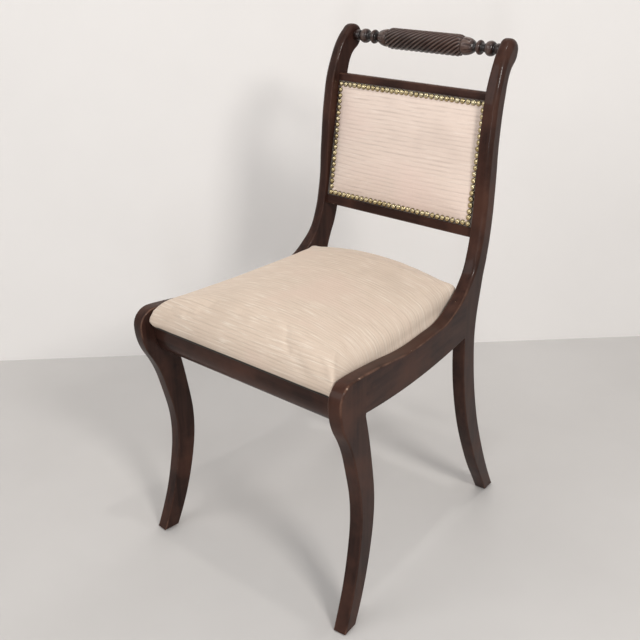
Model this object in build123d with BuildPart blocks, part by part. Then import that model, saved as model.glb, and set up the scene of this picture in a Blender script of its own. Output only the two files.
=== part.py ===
from build123d import *
import os
from math import cos, radians, sin, sqrt, tan

os.makedirs("parts", exist_ok=True)

# A sabre-leg dining chair with a rope-twist crest rail and a drop-in seat, in millimetres.
# It faces -Y and stands on Z = 0, with the origin on the floor under the middle of its box.

# Side frames: each leg, rail and stile lies in an upright plane that turns in towards the back.
front_width = 448.0
side_turn = 5.8
frame_thickness = 23.0
front_reach = 265.5
edge_bevel = 2.5
outer_bevel = 4.5
glide_height = 2.5

# Joint lines and heights along a side frame. Lengths along it are counted from the origin.
front_joint = -199.5
rear_joint = 109.5
knee_height = 439.0
knee_radius = 30.0
rail_top_front = 437.0
rail_top_dip = 422.0
rail_dip_place = -25.0
rail_top_rise = 430.5
rail_rise_place = 58.0
sweep_height = 460.5
rail_under_front = 373.0
rail_under_middle = 364.5
rail_under_rear = 374.0

# Curved legs: share of the leg's height, setback of its middle from the knee or rear joint, and its depth.
front_leg_line = [(0.80, 60.5, 44.0), (0.54, 75.7, 36.5), (0.27, 62.5, 33.0), (0.0, 27.8, 29.5)]
rear_leg_line = [(0.82, 22.8, 39.5), (0.56, 43.5, 39.0), (0.27, 86.5, 35.0), (0.0, 142.0, 28.0)]
rear_leg_depth = 38.0
front_toe_sweep = 0.42
rear_toe_sweep = 0.60

# Stiles: share of the height from the sweep to the crest axis, and setback from the rear joint.
crest_height = 830.5
crest_setback = 121.5
scroll_radius = 19.0
scroll_angles = (147, 112, 77, 42, 7, -28)
stile_front_line = [(0.07, 22.5), (0.157, 35.5), (0.30, 46.5), (0.49, 51.5), (0.69, 58.5), (0.84, 69.0)]
stile_back_line = [
    (0.90, 112.5), (0.79, 100.0), (0.62, 90.5), (0.43, 88.0), (0.26, 83.0), (0.115, 72.0), (0.0, 55.5)
]

# Front and rear seat rails.
front_rail_setback = 24.0
front_rail_depth = 26.0
front_rail_height = 52.0
front_rail_flat = 14.0
seat_rail_top = 404.0
rear_rail_setback = 8.0
rear_rail_depth = 24.0
rear_rail_height = 38.0

# Back panel, laid out in its own leaning plane about its middle.
panel_height = 653.7
panel_setback = 171.9
panel_lean = 8.5
nail_pitch = 10.3
nail_columns = 30
nail_rows = 20
nail_radius = 4.8
nail_rise = 2.4
nail_sides = 6
nail_taper = 38.0
nail_shank = 1.1
nail_shank_sides = 3
nail_shank_length = 8.0
top_rail_margin = 14.0
bottom_rail_margin = 18.0
back_rail_height = 28.0
back_rail_depth = 19.8
back_rail_proud = 0.8
board_thickness = 8.0
board_margin = 5.5
panel_side_gap = 0.6
panel_fit = 0.3
panel_rise = 11.0
panel_pad_margin = 7.5
panel_pad_slope = 30.0
panel_pad_round = 8.0
rear_cloth_thickness = 1.0

# Crest rail, turned about its own axis. Places are counted from its middle.
rope_radius = 18.0
rope_groove = 2.2
reed_drop = 0.1
rope_reeds = 12
rope_lead = 115.0
rope_half = 76.0
rope_shoulder = 8.0
rope_stations = 22
rope_collar_radius = 12.5
collar_step = 0.5
bell_start = 78.5
bell_end = 99.0
bell_radius = 14.6
bell_line = [(0.40, 0.95), (0.75, 0.60), (1.0, 0.0)]
neck_radius = 6.6
ring_place = 108.5
ring_half = 4.0
ring_radius = 12.0
ball_place = 128.8
ball_half = 7.2
ball_radius = 12.2
bead_place = 145.0
bead_half = 6.0
bead_radius = 9.5
crest_tenon_radius = 6.0
crest_tenon_depth = 13.0
crest_fit = 0.15
turned_sides = 16

# Drop-in seat.
seat_gap = 1.2
seat_rest_gap = 0.3
seat_overhang = 11.0
seat_rear = 118.0
seat_crown = 79.4
seat_crown_radius = 580.0
seat_crown_tilt = 0.6
seat_front_roll = 75.0
seat_edge_bevel = 8.0
seat_tuck = 5.0
seat_front_corner = 11.0
seat_rear_corner = 13.0
cover_thickness = 1.5
soft_gap = 0.3
bar_inset = 9.0
bar_width = 45.0
bar_thickness = 18.0
strap_width = 50.0
strap_thickness = 1.2
strap_gap = 0.1
strap_count = 3
flange_width = 22.0
dust_thickness = 0.8
dust_gap = 0.4

# What carries the seat, and the joints of the frame.
ledge_width = 14.0
ledge_height = 20.0
block_leg = 48.0
block_height = 26.0
block_drop = 3.0
screw_radius = 2.0
screw_head_radius = 4.0
screw_head_height = 2.6
screw_grip = 14.0
screw_bite = 14.0
screw_place = 26.0
screw_stagger = 8.0
hole_fit = 0.2
peg_sides = 8
dowel_radius = 4.5
dowel_half = 20.0
slim_dowel_radius = 3.4
slim_dowel_half = 12.0
dowel_end_gap = 1.0
front_dowel_heights = (398.0, 424.0)
rear_dowel_heights = (411.0, 441.0)
front_rail_dowel_drops = (14.0, 32.0)
rear_rail_dowel_drops = (9.0, 27.0)
back_rail_dowel_spread = 7.0
glide_radius = 8.0
glide_sides = 16
glide_pin_radius = 1.5
glide_pin_length = 12.0

turn = radians(side_turn)
along = Vector(-sin(turn), cos(turn), 0)
inward = Vector(-cos(turn), -sin(turn), 0)
half_middle = front_width / 2 - front_reach * sin(turn)


def side_point(length, inset, height):
    """A point of the right side frame: along it, in from its outer face, and up."""
    return Vector(half_middle, 0, height) + along * length + inward * inset


def inner_half(y, gap=0.0):
    """Half the clear width between the side frames at a place along Y, less a gap on each side."""
    return half_middle - y * tan(turn) - (frame_thickness + gap) / cos(turn)


def flipped(plane):
    """The same plane on the left side, with its direction mirrored."""
    return Plane(
        origin=(-plane.origin.X, plane.origin.Y, plane.origin.Z),
        x_dir=(-plane.x_dir.X, plane.x_dir.Y, plane.x_dir.Z),
        z_dir=(-plane.z_dir.X, plane.z_dir.Y, plane.z_dir.Z),
    )


def on_both_sides(planes):
    """Right-hand planes and their mirrored twins."""
    return planes + [flipped(plane) for plane in planes]


right_side = Plane(origin=side_point(0, 0, 0), x_dir=along, z_dir=inward * -1)
right_inner = Plane(origin=side_point(0, frame_thickness, 0), x_dir=along, z_dir=inward)
left_inner = flipped(right_inner)


def trim_between_sides(gap=0.0):
    """Cut the part in hand to the clear space between the side frames."""
    split(bisect_by=right_inner.offset(gap), keep=Keep.TOP)
    split(bisect_by=left_inner.offset(gap), keep=Keep.TOP)


def pegs(planes, radius, half, mode=Mode.ADD):
    """Faceted pegs, or their holes, centred on planes and running both ways along their normals."""
    for plane in planes:
        with BuildSketch(plane.offset(-half)) as ring:
            RegularPolygon(radius, peg_sides)
        extrude(ring.sketch, amount=2 * half, mode=mode)


def holes(planes, radius, half):
    """The holes that take pegs of a given size, with their clearance."""
    pegs(planes, radius + hole_fit / 2, half + dowel_end_gap, Mode.SUBTRACT)


def smooth_arcs(points, start=None, end=None):
    """A smooth curve through points, in pairs of tangent arcs. Its end directions may be given."""
    places = [Vector(*point) for point in points]
    ways = []
    for before, here, after in zip(places, places[1:], places[2:]):
        back = here - before
        ahead = after - here
        ways.append((back * (ahead.length / back.length) + ahead * (back.length / ahead.length)).normalized())
    first = (places[1] - places[0]).normalized()
    last = (places[-1] - places[-2]).normalized()
    ways.insert(0, Vector(*start).normalized() if start else first * (2 * first.dot(ways[0])) - ways[0])
    ways.append(Vector(*end).normalized() if end else last * (2 * last.dot(ways[-1])) - ways[-1])
    for here, there, leaving, arriving in zip(places, places[1:], ways, ways[1:]):
        chord = there - here
        lean = chord.dot(leaving + arriving)
        bend = 2 * (1 - leaving.dot(arriving))
        arm = chord.dot(chord) / (lean + sqrt(lean**2 + bend * chord.dot(chord)))
        meeting = (here + there + (leaving - arriving) * arm) / 2
        TangentArc(here, meeting, tangent=leaving)
        TangentArc(there, meeting, tangent=arriving * -1)


def ease_curved_edges(piece):
    """Bevel the curved edges of a sawn piece's outer and inner side, and leave its joint faces square."""
    across = Axis(side_point(0, 0, 0), inward)
    for place, bevel in ((0, outer_bevel), (-1, edge_bevel)):
        side = piece.faces().filter_by(right_side).sort_by(across)[place]
        chamfer(side.edges().filter_by(GeomType.LINE, reverse=True), length=bevel)


def save(piece, name):
    piece.part.label = name
    export_step(piece.part, f"parts/{name}.step")


def save_pair(piece, name):
    """Write a right-hand piece and its mirrored left-hand twin."""
    save(piece, f"right_{name}")
    with BuildPart() as twin:
        mirror(piece.part, about=Plane.YZ)
    save(twin, f"left_{name}")


def leg_edge(line, start, side, top):
    """Points along one edge of a curved leg, from its top down to the foot."""
    rise = top - glide_height
    return [
        (start + setback + side * depth / 2, glide_height + share * rise)
        for share, setback, depth in line
    ]


# Places of the main joints
crest_length = rear_joint + crest_setback
crest_y = crest_length * cos(turn)
front_rail_y = -front_reach * cos(turn) + front_rail_setback
front_rail_back = front_rail_y + front_rail_depth
rear_rail_y = rear_joint * cos(turn) + rear_rail_setback
seat_base = seat_rail_top + seat_rest_gap
lean = radians(panel_lean)
panel_up = Vector(0, sin(lean), cos(lean))
panel_out = Vector(0, -cos(lean), sin(lean))
panel_middle = Vector(0, panel_setback, panel_height)
panel_face = Plane(origin=panel_middle, x_dir=(1, 0, 0), z_dir=panel_out)
panel_section = Plane(origin=panel_middle, x_dir=panel_up, z_dir=(1, 0, 0))
nail_half_width = nail_pitch * (nail_columns - 1) / 2
nail_half_height = nail_pitch * (nail_rows - 1) / 2


def joint_plane(length, height):
    """Middle of a joint between two pieces of a side frame, facing along it."""
    return Plane(origin=side_point(length, frame_thickness / 2, height), x_dir=(0, 0, 1), z_dir=along)


def rail_end(y, height):
    """Middle of a cross rail's joint with the right side frame, facing along the rail."""
    return Plane(origin=(inner_half(y), y, height), x_dir=(0, 0, 1), z_dir=(-1, 0, 0))


front_dowels = [joint_plane(front_joint, height) for height in front_dowel_heights]
rear_dowels = [joint_plane(rear_joint, height) for height in rear_dowel_heights]
front_rail_middle = front_rail_y + front_rail_depth / 2
front_rail_dowels = [rail_end(front_rail_middle, seat_rail_top - drop) for drop in front_rail_dowel_drops]
rear_rail_middle = rear_rail_y + rear_rail_depth / 2
rear_rail_dowels = [rail_end(rear_rail_middle, seat_rail_top - drop) for drop in rear_rail_dowel_drops]

# The back rails are rebated at the front for the panel board, so their dowels run behind the rebate.
rebate_depth = cover_thickness + board_thickness + panel_fit
back_dowel_depth = (rebate_depth + back_rail_depth - back_rail_proud) / 2
top_rail_edge = nail_half_height + top_rail_margin
bottom_rail_edge = -nail_half_height - bottom_rail_margin


def back_rail_dowels(edge, inner_edge):
    """Two dowel places at the right end of a back rail, given its outer and inner edge."""
    middle = (edge + inner_edge) / 2
    places = [
        panel_middle + panel_up * (middle + step) - panel_out * back_dowel_depth
        for step in (-back_rail_dowel_spread, back_rail_dowel_spread)
    ]
    return [rail_end(place.Y, place.Z) for place in places]


top_rail_dowels = back_rail_dowels(top_rail_edge, top_rail_edge - back_rail_height)
bottom_rail_dowels = back_rail_dowels(bottom_rail_edge, bottom_rail_edge + back_rail_height)
crest_bore = Plane(origin=(inner_half(crest_y), crest_y, crest_height), x_dir=(0, 0, 1), z_dir=(-1, 0, 0))

# Screws of the corner blocks: one into the cross rail and one into the side rail at each corner.
block_top = seat_rail_top - block_drop
block_middle = block_top - block_height / 2


def block_screws(corner_y, way):
    """Screw planes at a right-hand corner, on the block's outer faces and pointing out of the block."""
    corner = Vector(inner_half(corner_y), corner_y, block_middle)
    on_rail = corner + Vector(-screw_place, 0, screw_stagger)
    on_side = corner + along * (way * screw_place) - Vector(0, 0, screw_stagger)
    return [
        Plane(origin=on_rail, x_dir=(0, 0, 1), z_dir=(0, -way, 0)),
        Plane(origin=on_side, x_dir=(0, 0, 1), z_dir=inward * -1),
    ]


front_screws = block_screws(front_rail_back, 1)
rear_screws = block_screws(rear_rail_y, -1)


def screw_holes(planes):
    """Pilot holes where the corner block screws enter a rail."""
    for plane in planes:
        with BuildSketch(plane) as ring:
            RegularPolygon(screw_radius + hole_fit / 2, peg_sides)
        extrude(ring.sketch, amount=screw_bite + dowel_end_gap, mode=Mode.SUBTRACT)


def glide_plane(line, start):
    """Floor point under the middle of a foot, facing up."""
    share, setback, depth = line[-1]
    return Plane(side_point(start + setback, frame_thickness / 2, 0))


front_glide = glide_plane(front_leg_line, -front_reach)
rear_glide = glide_plane(rear_leg_line, rear_joint)


def glide_hole(plane):
    with BuildSketch(plane) as ring:
        RegularPolygon(glide_pin_radius + hole_fit / 2, peg_sides)
    extrude(ring.sketch, amount=glide_height + glide_pin_length + dowel_end_gap, mode=Mode.SUBTRACT)


# Front leg with its rounded knee
front_edge = leg_edge(front_leg_line, -front_reach, -1, rail_under_front)
back_edge = leg_edge(front_leg_line, -front_reach, 1, rail_under_front)
rail_slope = (1, (rail_top_dip - rail_top_front) / (rail_dip_place - front_joint))
sweep_way = (1, 1)
with BuildPart() as front_leg:
    with BuildSketch(right_side):
        with BuildLine():
            knee_top = (-front_reach + knee_radius, knee_height)
            knee_front = (-front_reach, knee_height - knee_radius)
            top_joint = (front_joint, rail_top_front)
            smooth_arcs([top_joint, knee_top], start=(-rail_slope[0], -rail_slope[1]), end=(-1, 0))
            RadiusArc(knee_top, knee_front, -knee_radius)
            smooth_arcs([knee_front, *front_edge], start=(0, -1), end=(-front_toe_sweep, -1))
            Line(front_edge[-1], back_edge[-1])
            smooth_arcs([*reversed(back_edge), (front_joint, rail_under_front)])
            Line((front_joint, rail_under_front), (front_joint, rail_top_front))
        make_face()
    extrude(amount=-frame_thickness)
    ease_curved_edges(front_leg)
    holes(front_dowels, dowel_radius, dowel_half)
    holes(front_rail_dowels, slim_dowel_radius, slim_dowel_half)
    glide_hole(front_glide)
save_pair(front_leg, "front_leg")

# Side rail, whose top edge dips and then sweeps up into the stile
with BuildPart() as side_rail:
    with BuildSketch(right_side):
        with BuildLine():
            rail_top = [
                (front_joint, rail_top_front),
                (rail_dip_place, rail_top_dip),
                (rail_rise_place, rail_top_rise),
                (rear_joint, sweep_height),
            ]
            smooth_arcs(rail_top, start=rail_slope, end=sweep_way)
            Line((rear_joint, sweep_height), (rear_joint, rail_under_rear))
            ThreePointArc(
                (rear_joint, rail_under_rear),
                ((front_joint + rear_joint) / 2, rail_under_middle),
                (front_joint, rail_under_front),
            )
            Line((front_joint, rail_under_front), (front_joint, rail_top_front))
        make_face()
    extrude(amount=-frame_thickness)
    ease_curved_edges(side_rail)
    holes(front_dowels + rear_dowels, dowel_radius, dowel_half)
    screw_holes([front_screws[1], rear_screws[1]])
save_pair(side_rail, "side_rail")

# Rear leg and stile, sawn as one piece, with a rounded top that takes the crest rail
leg_front = leg_edge(rear_leg_line, rear_joint, -1, rail_under_rear)
leg_back = leg_edge(rear_leg_line, rear_joint, 1, rail_under_rear)
back_rise = crest_height - sweep_height
stile_front, stile_back = [
    [(rear_joint + setback, sweep_height + share * back_rise) for share, setback in line]
    for line in (stile_front_line, stile_back_line)
]
stile_root = (rear_joint + rear_leg_depth, rail_under_rear)
scroll = [
    (crest_length + scroll_radius * cos(radians(angle)), crest_height + scroll_radius * sin(radians(angle)))
    for angle in scroll_angles
]

with BuildPart() as rear_leg:
    with BuildSketch(right_side):
        with BuildLine():
            stile = [(rear_joint, sweep_height), *stile_front, *scroll, *stile_back, stile_root, *leg_back]
            smooth_arcs(stile, start=sweep_way)
            Line(leg_back[-1], leg_front[-1])
            leg_line = [*reversed(leg_front), (rear_joint, rail_under_rear)]
            smooth_arcs(leg_line, start=(-rear_toe_sweep, 1), end=(0, 1))
            Line((rear_joint, rail_under_rear), (rear_joint, sweep_height))
        make_face()
    extrude(amount=-frame_thickness)
    ease_curved_edges(rear_leg)
    holes(rear_dowels, dowel_radius, dowel_half)
    holes(rear_rail_dowels + top_rail_dowels + bottom_rail_dowels, slim_dowel_radius, slim_dowel_half)
    pegs([crest_bore], crest_tenon_radius + crest_fit, crest_tenon_depth + dowel_end_gap, Mode.SUBTRACT)
    glide_hole(rear_glide)
save_pair(rear_leg, "rear_leg")

# Front rail with a rounded lower front
reach = front_width / 2
with BuildPart() as front_rail:
    with BuildSketch(Plane.YZ):
        with BuildLine():
            rail_bottom = seat_rail_top - front_rail_height
            Polyline(
                (front_rail_back, rail_bottom),
                (front_rail_back, seat_rail_top),
                (front_rail_y, seat_rail_top),
                (front_rail_y, seat_rail_top - front_rail_flat),
            )
            TangentArc(
                (front_rail_y, seat_rail_top - front_rail_flat),
                (front_rail_back, rail_bottom),
                tangent=(0, -1),
            )
        make_face()
    extrude(amount=reach, both=True)
    trim_between_sides()
    holes(on_both_sides(front_rail_dowels), slim_dowel_radius, slim_dowel_half)
    screw_holes(on_both_sides(front_screws[:1]))
save(front_rail, "front_rail")

# Rear seat rail
with BuildPart() as rear_rail:
    with BuildSketch(Plane.YZ):
        with Locations((rear_rail_y, seat_rail_top)):
            Rectangle(rear_rail_depth, rear_rail_height, align=(Align.MIN, Align.MAX))
    extrude(amount=reach, both=True)
    trim_between_sides()
    holes(on_both_sides(rear_rail_dowels), slim_dowel_radius, slim_dowel_half)
    screw_holes(on_both_sides(rear_screws[:1]))
save(rear_rail, "rear_rail")


def back_rail(name, edge, way, dowels):
    """A back rail between the stiles, rebated for the panel board. Its outer edge faces up or down."""
    lip = way * (nail_half_height + board_margin + panel_fit)
    inner_edge = edge - way * back_rail_height
    back = back_rail_proud - back_rail_depth
    with BuildPart() as rail:
        with BuildSketch(panel_section):
            Polygon(
                (edge, back_rail_proud),
                (lip, back_rail_proud),
                (lip, -rebate_depth),
                (inner_edge, -rebate_depth),
                (inner_edge, back),
                (edge, back),
                align=None,
            )
        extrude(amount=reach, both=True)
        outer_face = rail.faces().sort_by(Axis(panel_middle, panel_up * way))[-1]
        chamfer(outer_face.edges().filter_by(Axis.X), length=edge_bevel / 2)
        trim_between_sides()
        holes(on_both_sides(dowels), slim_dowel_radius, slim_dowel_half)
    save(rail, name)


back_rail("back_top_rail", top_rail_edge, 1, top_rail_dowels)
back_rail("back_bottom_rail", bottom_rail_edge, -1, bottom_rail_dowels)

# Back panel: board, foam, front cover, rear cloth and nails
board_front = -cover_thickness
with BuildPart() as back_board:
    with BuildSketch(panel_face.offset(board_front)):
        Rectangle(2 * reach, 2 * (nail_half_height + board_margin))
    extrude(amount=-board_thickness)
    trim_between_sides(panel_side_gap)
save(back_board, "back_board")


def panel_pad(inset):
    """The raised middle of the back panel, drawn in at its sides."""
    with BuildPart() as pad:
        with BuildSketch(panel_face.offset(board_front)):
            Rectangle(
                2 * (nail_half_width - panel_pad_margin - inset),
                2 * (nail_half_height - panel_pad_margin - inset),
            )
        extrude(amount=panel_rise - inset, taper=panel_pad_slope)
        top = pad.faces().sort_by(Axis(panel_middle, panel_out))[-1]
        fillet(top.edges(), radius=panel_pad_round)
    return pad


pad_skin = panel_pad(0.0)
back_foam = panel_pad(cover_thickness + soft_gap)
pad_hollow = panel_pad(cover_thickness)
save(back_foam, "back_foam")

with BuildPart() as back_cover:
    with BuildSketch(panel_face.offset(board_front)):
        Rectangle(2 * reach, 2 * (nail_half_height + board_margin))
    extrude(amount=cover_thickness)
    trim_between_sides(panel_side_gap)
    add(pad_skin.part)
    add(pad_hollow.part, mode=Mode.SUBTRACT)
save(back_cover, "back_cover")

cloth_half = top_rail_edge - back_rail_height - panel_fit
with BuildPart() as back_rear_cloth:
    with BuildSketch(panel_face.offset(board_front - board_thickness)):
        Rectangle(2 * reach, 2 * cloth_half)
    extrude(amount=-rear_cloth_thickness)
    trim_between_sides(panel_side_gap)
save(back_rear_cloth, "back_rear_cloth")

nail_row = [nail_pitch * step - nail_half_width for step in range(nail_columns)]
nail_column = [nail_pitch * step - nail_half_height for step in range(1, nail_rows - 1)]
nail_points = [(x, y) for y in (-nail_half_height, nail_half_height) for x in nail_row]
nail_points += [(x, y) for x in (-nail_half_width, nail_half_width) for y in nail_column]
with BuildPart() as back_nails:
    with BuildSketch(panel_face):
        with Locations(*nail_points):
            RegularPolygon(nail_radius, nail_sides)
    extrude(amount=nail_rise, taper=nail_taper)
    with BuildSketch(panel_face):
        with Locations(*nail_points):
            RegularPolygon(nail_shank, nail_shank_sides)
    extrude(amount=-nail_shank_length)
save(back_nails, "back_nails")

# Crest rail: a twisted, reeded middle with turned ends and round tenons
rope_step = 360 / rope_reeds
reed_points = [(0.0, rope_groove), (0.27, reed_drop), (0.73, reed_drop)]


def rope_ring(place):
    """Points round the twisted middle at a place along it. The reeds round over towards its ends."""
    twist = -360 * (place + rope_half) / rope_lead
    left = max(0.0, 1 - (rope_half - abs(place)) / rope_shoulder)
    shrink = 1 - (1 - sqrt(1 - left**2)) * (1 - rope_collar_radius / rope_radius)
    ring = []
    for index in range(rope_reeds):
        for share, depth in reed_points:
            angle = radians((index + share) * rope_step + twist)
            radius = (rope_radius - depth) * shrink
            ring.append(Vector(place, radius * cos(angle), radius * sin(angle)))
    return ring


rope_flat = 2 * (rope_half - rope_shoulder)
rope_ends = [rope_half - rope_shoulder * share for share in (0.0, 0.12, 0.45)]
rope_places = [rope_flat * step / rope_stations - rope_flat / 2 for step in range(rope_stations + 1)]
rope_rings = [rope_ring(place) for place in [-end for end in rope_ends] + rope_places + rope_ends[::-1]]


def turned_ring(place, radius):
    """Points round a turned end at a place along it."""
    angles = [radians(360 * step / turned_sides) for step in range(turned_sides)]
    return [Vector(place, radius * cos(angle), radius * sin(angle)) for angle in angles]


def ringed_solid(rings):
    """A solid of flat facets between rings of points, closed at its first and last ring."""
    facets = [Face(Wire.make_polygon(ring)) for ring in (rings[0], rings[-1])]
    for ring, following in zip(rings, rings[1:]):
        for step in range(len(ring)):
            low, high = ring[step - 1], following[step - 1]
            facets.append(Face(Wire.make_polygon([low, ring[step], following[step]])))
            facets.append(Face(Wire.make_polygon([low, following[step], high])))
    return Solid(Shell(facets))


def turned_swell(place, half, top):
    """Profile points of a rounded swelling of the turned end, rising from one neck and back to the next."""
    rise = top - neck_radius
    shares = [(-1.0, 0.0), (-0.72, 0.66), (-0.25, 1.0), (0.25, 1.0), (0.72, 0.66), (1.0, 0.0)]
    return [(place + half * way, neck_radius + rise * height) for way, height in shares]


with BuildPart() as rope_middle:
    add(ringed_solid(rope_rings))

stile_inner = inner_half(crest_y)
bell_rise = bell_radius - neck_radius
bell_run = bell_end - bell_start
end_profile = [
    (rope_half, rope_collar_radius),
    (bell_start - collar_step, rope_collar_radius),
    (bell_start, bell_radius),
    *[(bell_start + bell_run * run, neck_radius + bell_rise * rise) for run, rise in bell_line],
    *turned_swell(ring_place, ring_half, ring_radius),
    *turned_swell(ball_place, ball_half, ball_radius),
    *turned_swell(bead_place, bead_half, bead_radius)[:-1],
    (stile_inner + frame_thickness, neck_radius),
]
with BuildPart() as crest_end:
    add(ringed_solid([turned_ring(place, radius) for place, radius in end_profile]))
crest_move = Location((0, crest_y, crest_height))
with BuildPart() as crest_rail:
    with Locations(crest_move):
        add(crest_end.part)
    mirror(about=Plane.YZ)
    trim_between_sides()
    with Locations(crest_move):
        add(rope_middle.part)
    for plane in on_both_sides([crest_bore]):
        with BuildSketch(plane.offset(2 * bead_half)):
            RegularPolygon(crest_tenon_radius, peg_sides)
        extrude(amount=-2 * bead_half - crest_tenon_depth)
save(crest_rail, "crest_rail")

# Drop-in seat
seat_front = front_rail_y - seat_overhang


def seat_outline(inset):
    """Corners of the seat's outline, drawn in by an inset all round."""
    front = seat_front + inset
    rear = seat_rear - inset
    front_half = inner_half(front, seat_gap + inset)
    rear_half = inner_half(rear, seat_gap + inset)
    return [(-front_half, front), (front_half, front), (rear_half, rear), (-rear_half, rear)]


crown_tilt = radians(seat_crown_tilt)
crown_middle = (0, 0, seat_base + seat_crown - seat_crown_radius)
crown_axis = Plane(origin=crown_middle, x_dir=(1, 0, 0), z_dir=(0, cos(crown_tilt), sin(crown_tilt)))


def seat_form(inset):
    """The upholstered form of the seat, crowned, eased at its top edge and tucked in at its base."""
    with BuildPart() as form:
        with BuildSketch(Plane.XY.offset(seat_base + inset)) as outline:
            Polygon(*seat_outline(inset), align=None)
            corners = outline.vertices().sort_by(Axis.Y)
            fillet(corners[:2], radius=seat_front_corner - inset)
            fillet(outline.vertices().sort_by(Axis.Y)[-2:], radius=seat_rear_corner - inset)
        extrude(amount=2 * seat_crown)
        with BuildSketch(crown_axis):
            Circle(seat_crown_radius - inset)
        extrude(amount=2 * reach, both=True, mode=Mode.INTERSECT)
        chamfer(form.faces().sort_by(Axis.Z)[-1].edges(), length=seat_edge_bevel)
        chamfer(form.faces().sort_by(Axis.Z)[0].edges(), length=seat_tuck)
        with BuildSketch(Plane.YZ):
            with BuildLine():
                front = seat_front + inset
                top = seat_base + 2 * seat_crown
                roll_start = (front, seat_base + seat_crown - seat_front_roll)
                roll_end = (seat_front + seat_front_roll, seat_base + seat_crown - inset)
                Polyline(
                    roll_start,
                    (front, seat_base),
                    (seat_rear, seat_base),
                    (seat_rear, top),
                    (roll_end[0], top),
                    roll_end,
                )
                RadiusArc(roll_start, roll_end, seat_front_roll - inset)
            make_face()
        extrude(amount=reach, both=True, mode=Mode.INTERSECT)
    return form


seat_skin = seat_form(0.0)
seat_hollow = seat_form(cover_thickness)
bar_base = seat_base + cover_thickness
bar_top = bar_base + bar_thickness
foam_base = bar_top + 2 * (strap_thickness + strap_gap)
opening_inset = seat_tuck + flange_width
with BuildPart() as seat_cover:
    add(seat_skin.part)
    add(seat_hollow.part, mode=Mode.SUBTRACT)
    with BuildSketch(Plane.XY.offset(seat_base)):
        Polygon(*seat_outline(opening_inset), align=None)
    extrude(amount=2 * cover_thickness, mode=Mode.SUBTRACT)
save(seat_cover, "seat_cover")

foam_core = seat_form(cover_thickness + soft_gap)
with BuildPart() as seat_foam:
    add(foam_core.part)
    split(bisect_by=Plane.XY.offset(foam_base), keep=Keep.TOP)
save(seat_foam, "seat_foam")

with BuildPart() as seat_dust_cloth:
    with BuildSketch(Plane.XY.offset(bar_base)):
        Polygon(*seat_outline(opening_inset + dust_gap), align=None)
    extrude(amount=-dust_thickness)
save(seat_dust_cloth, "seat_dust_cloth")

bar_front = seat_front + bar_inset
bar_rear = seat_rear - bar_inset
bar_side_gap = seat_gap + bar_inset
cross_bars = {"seat_front_bar": bar_front, "seat_rear_bar": bar_rear - bar_width}
seat_dowels = [
    Plane(
        origin=(inner_half(y, bar_side_gap + bar_width / 2), y, bar_base + bar_thickness / 2),
        x_dir=(1, 0, 0),
        z_dir=(0, 1, 0),
    )
    for y in (bar_front + bar_width, bar_rear - bar_width)
]
both_seat_dowels = on_both_sides(seat_dowels)
for name, low in cross_bars.items():
    with BuildPart() as cross_bar:
        with BuildSketch(Plane.XY.offset(bar_base)):
            with Locations((0, low)):
                Rectangle(2 * reach, bar_width, align=(Align.CENTER, Align.MIN))
        extrude(amount=bar_thickness)
        trim_between_sides(bar_side_gap)
        holes(both_seat_dowels, slim_dowel_radius, slim_dowel_half)
    save(cross_bar, name)

with BuildPart() as seat_side_bar:
    with BuildSketch(Plane.XY.offset(bar_base)):
        with Locations((0, bar_front + bar_width)):
            Rectangle(reach, bar_rear - bar_front - 2 * bar_width, align=(Align.MIN, Align.MIN))
    extrude(amount=bar_thickness)
    split(bisect_by=right_inner.offset(bar_side_gap), keep=Keep.TOP)
    split(bisect_by=right_inner.offset(bar_side_gap + bar_width), keep=Keep.BOTTOM)
    holes(seat_dowels, slim_dowel_radius, slim_dowel_half)
save_pair(seat_side_bar, "seat_bar")

with BuildPart() as seat_bar_dowels:
    pegs(both_seat_dowels, slim_dowel_radius, slim_dowel_half)
save(seat_bar_dowels, "seat_bar_dowels")

# Webbing: straps from front to rear, and straps across them
strap_end = bar_width / 3
strap_field = 2 * inner_half(bar_rear, bar_side_gap + strap_end)
strap_run = bar_rear - bar_front - 2 * strap_end
strap_middle = (bar_rear + bar_front) / 2
with BuildPart() as seat_webbing:
    with BuildSketch(Plane.XY.offset(bar_top)):
        with Locations((0, strap_middle)):
            with GridLocations(strap_field / strap_count, 0, strap_count, 1):
                Rectangle(strap_width, strap_run)
    extrude(amount=strap_thickness)
    with BuildSketch(Plane.XY.offset(bar_top + strap_thickness + strap_gap)):
        with Locations((0, strap_middle)):
            with GridLocations(0, strap_run / strap_count, 1, strap_count):
                Rectangle(2 * reach, strap_width)
    extrude(amount=strap_thickness)
    trim_between_sides(bar_side_gap + strap_end)
save(seat_webbing, "seat_webbing")

# Ledges inside the side rails, between the corner blocks
with BuildPart() as seat_ledge:
    with BuildSketch(Plane.XY.offset(seat_rail_top)):
        with Locations((0, front_rail_back + block_leg)):
            Rectangle(reach, rear_rail_y - front_rail_back - 2 * block_leg, align=(Align.MIN, Align.MIN))
    extrude(amount=-ledge_height)
    split(bisect_by=right_inner, keep=Keep.TOP)
    split(bisect_by=right_inner.offset(ledge_width), keep=Keep.BOTTOM)
save_pair(seat_ledge, "seat_ledge")


def corner_block(corner_y, way):
    """A three-cornered block at a right-hand corner, in the part in hand."""
    corner = Vector(inner_half(corner_y), corner_y)
    tip = corner + along * (way * block_leg)
    with BuildSketch(Plane.XY.offset(block_top)) as outline:
        Polygon((corner.X, corner.Y), (corner.X - block_leg, corner.Y), (tip.X, tip.Y), align=None)
    extrude(outline.sketch, amount=-block_height)


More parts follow.
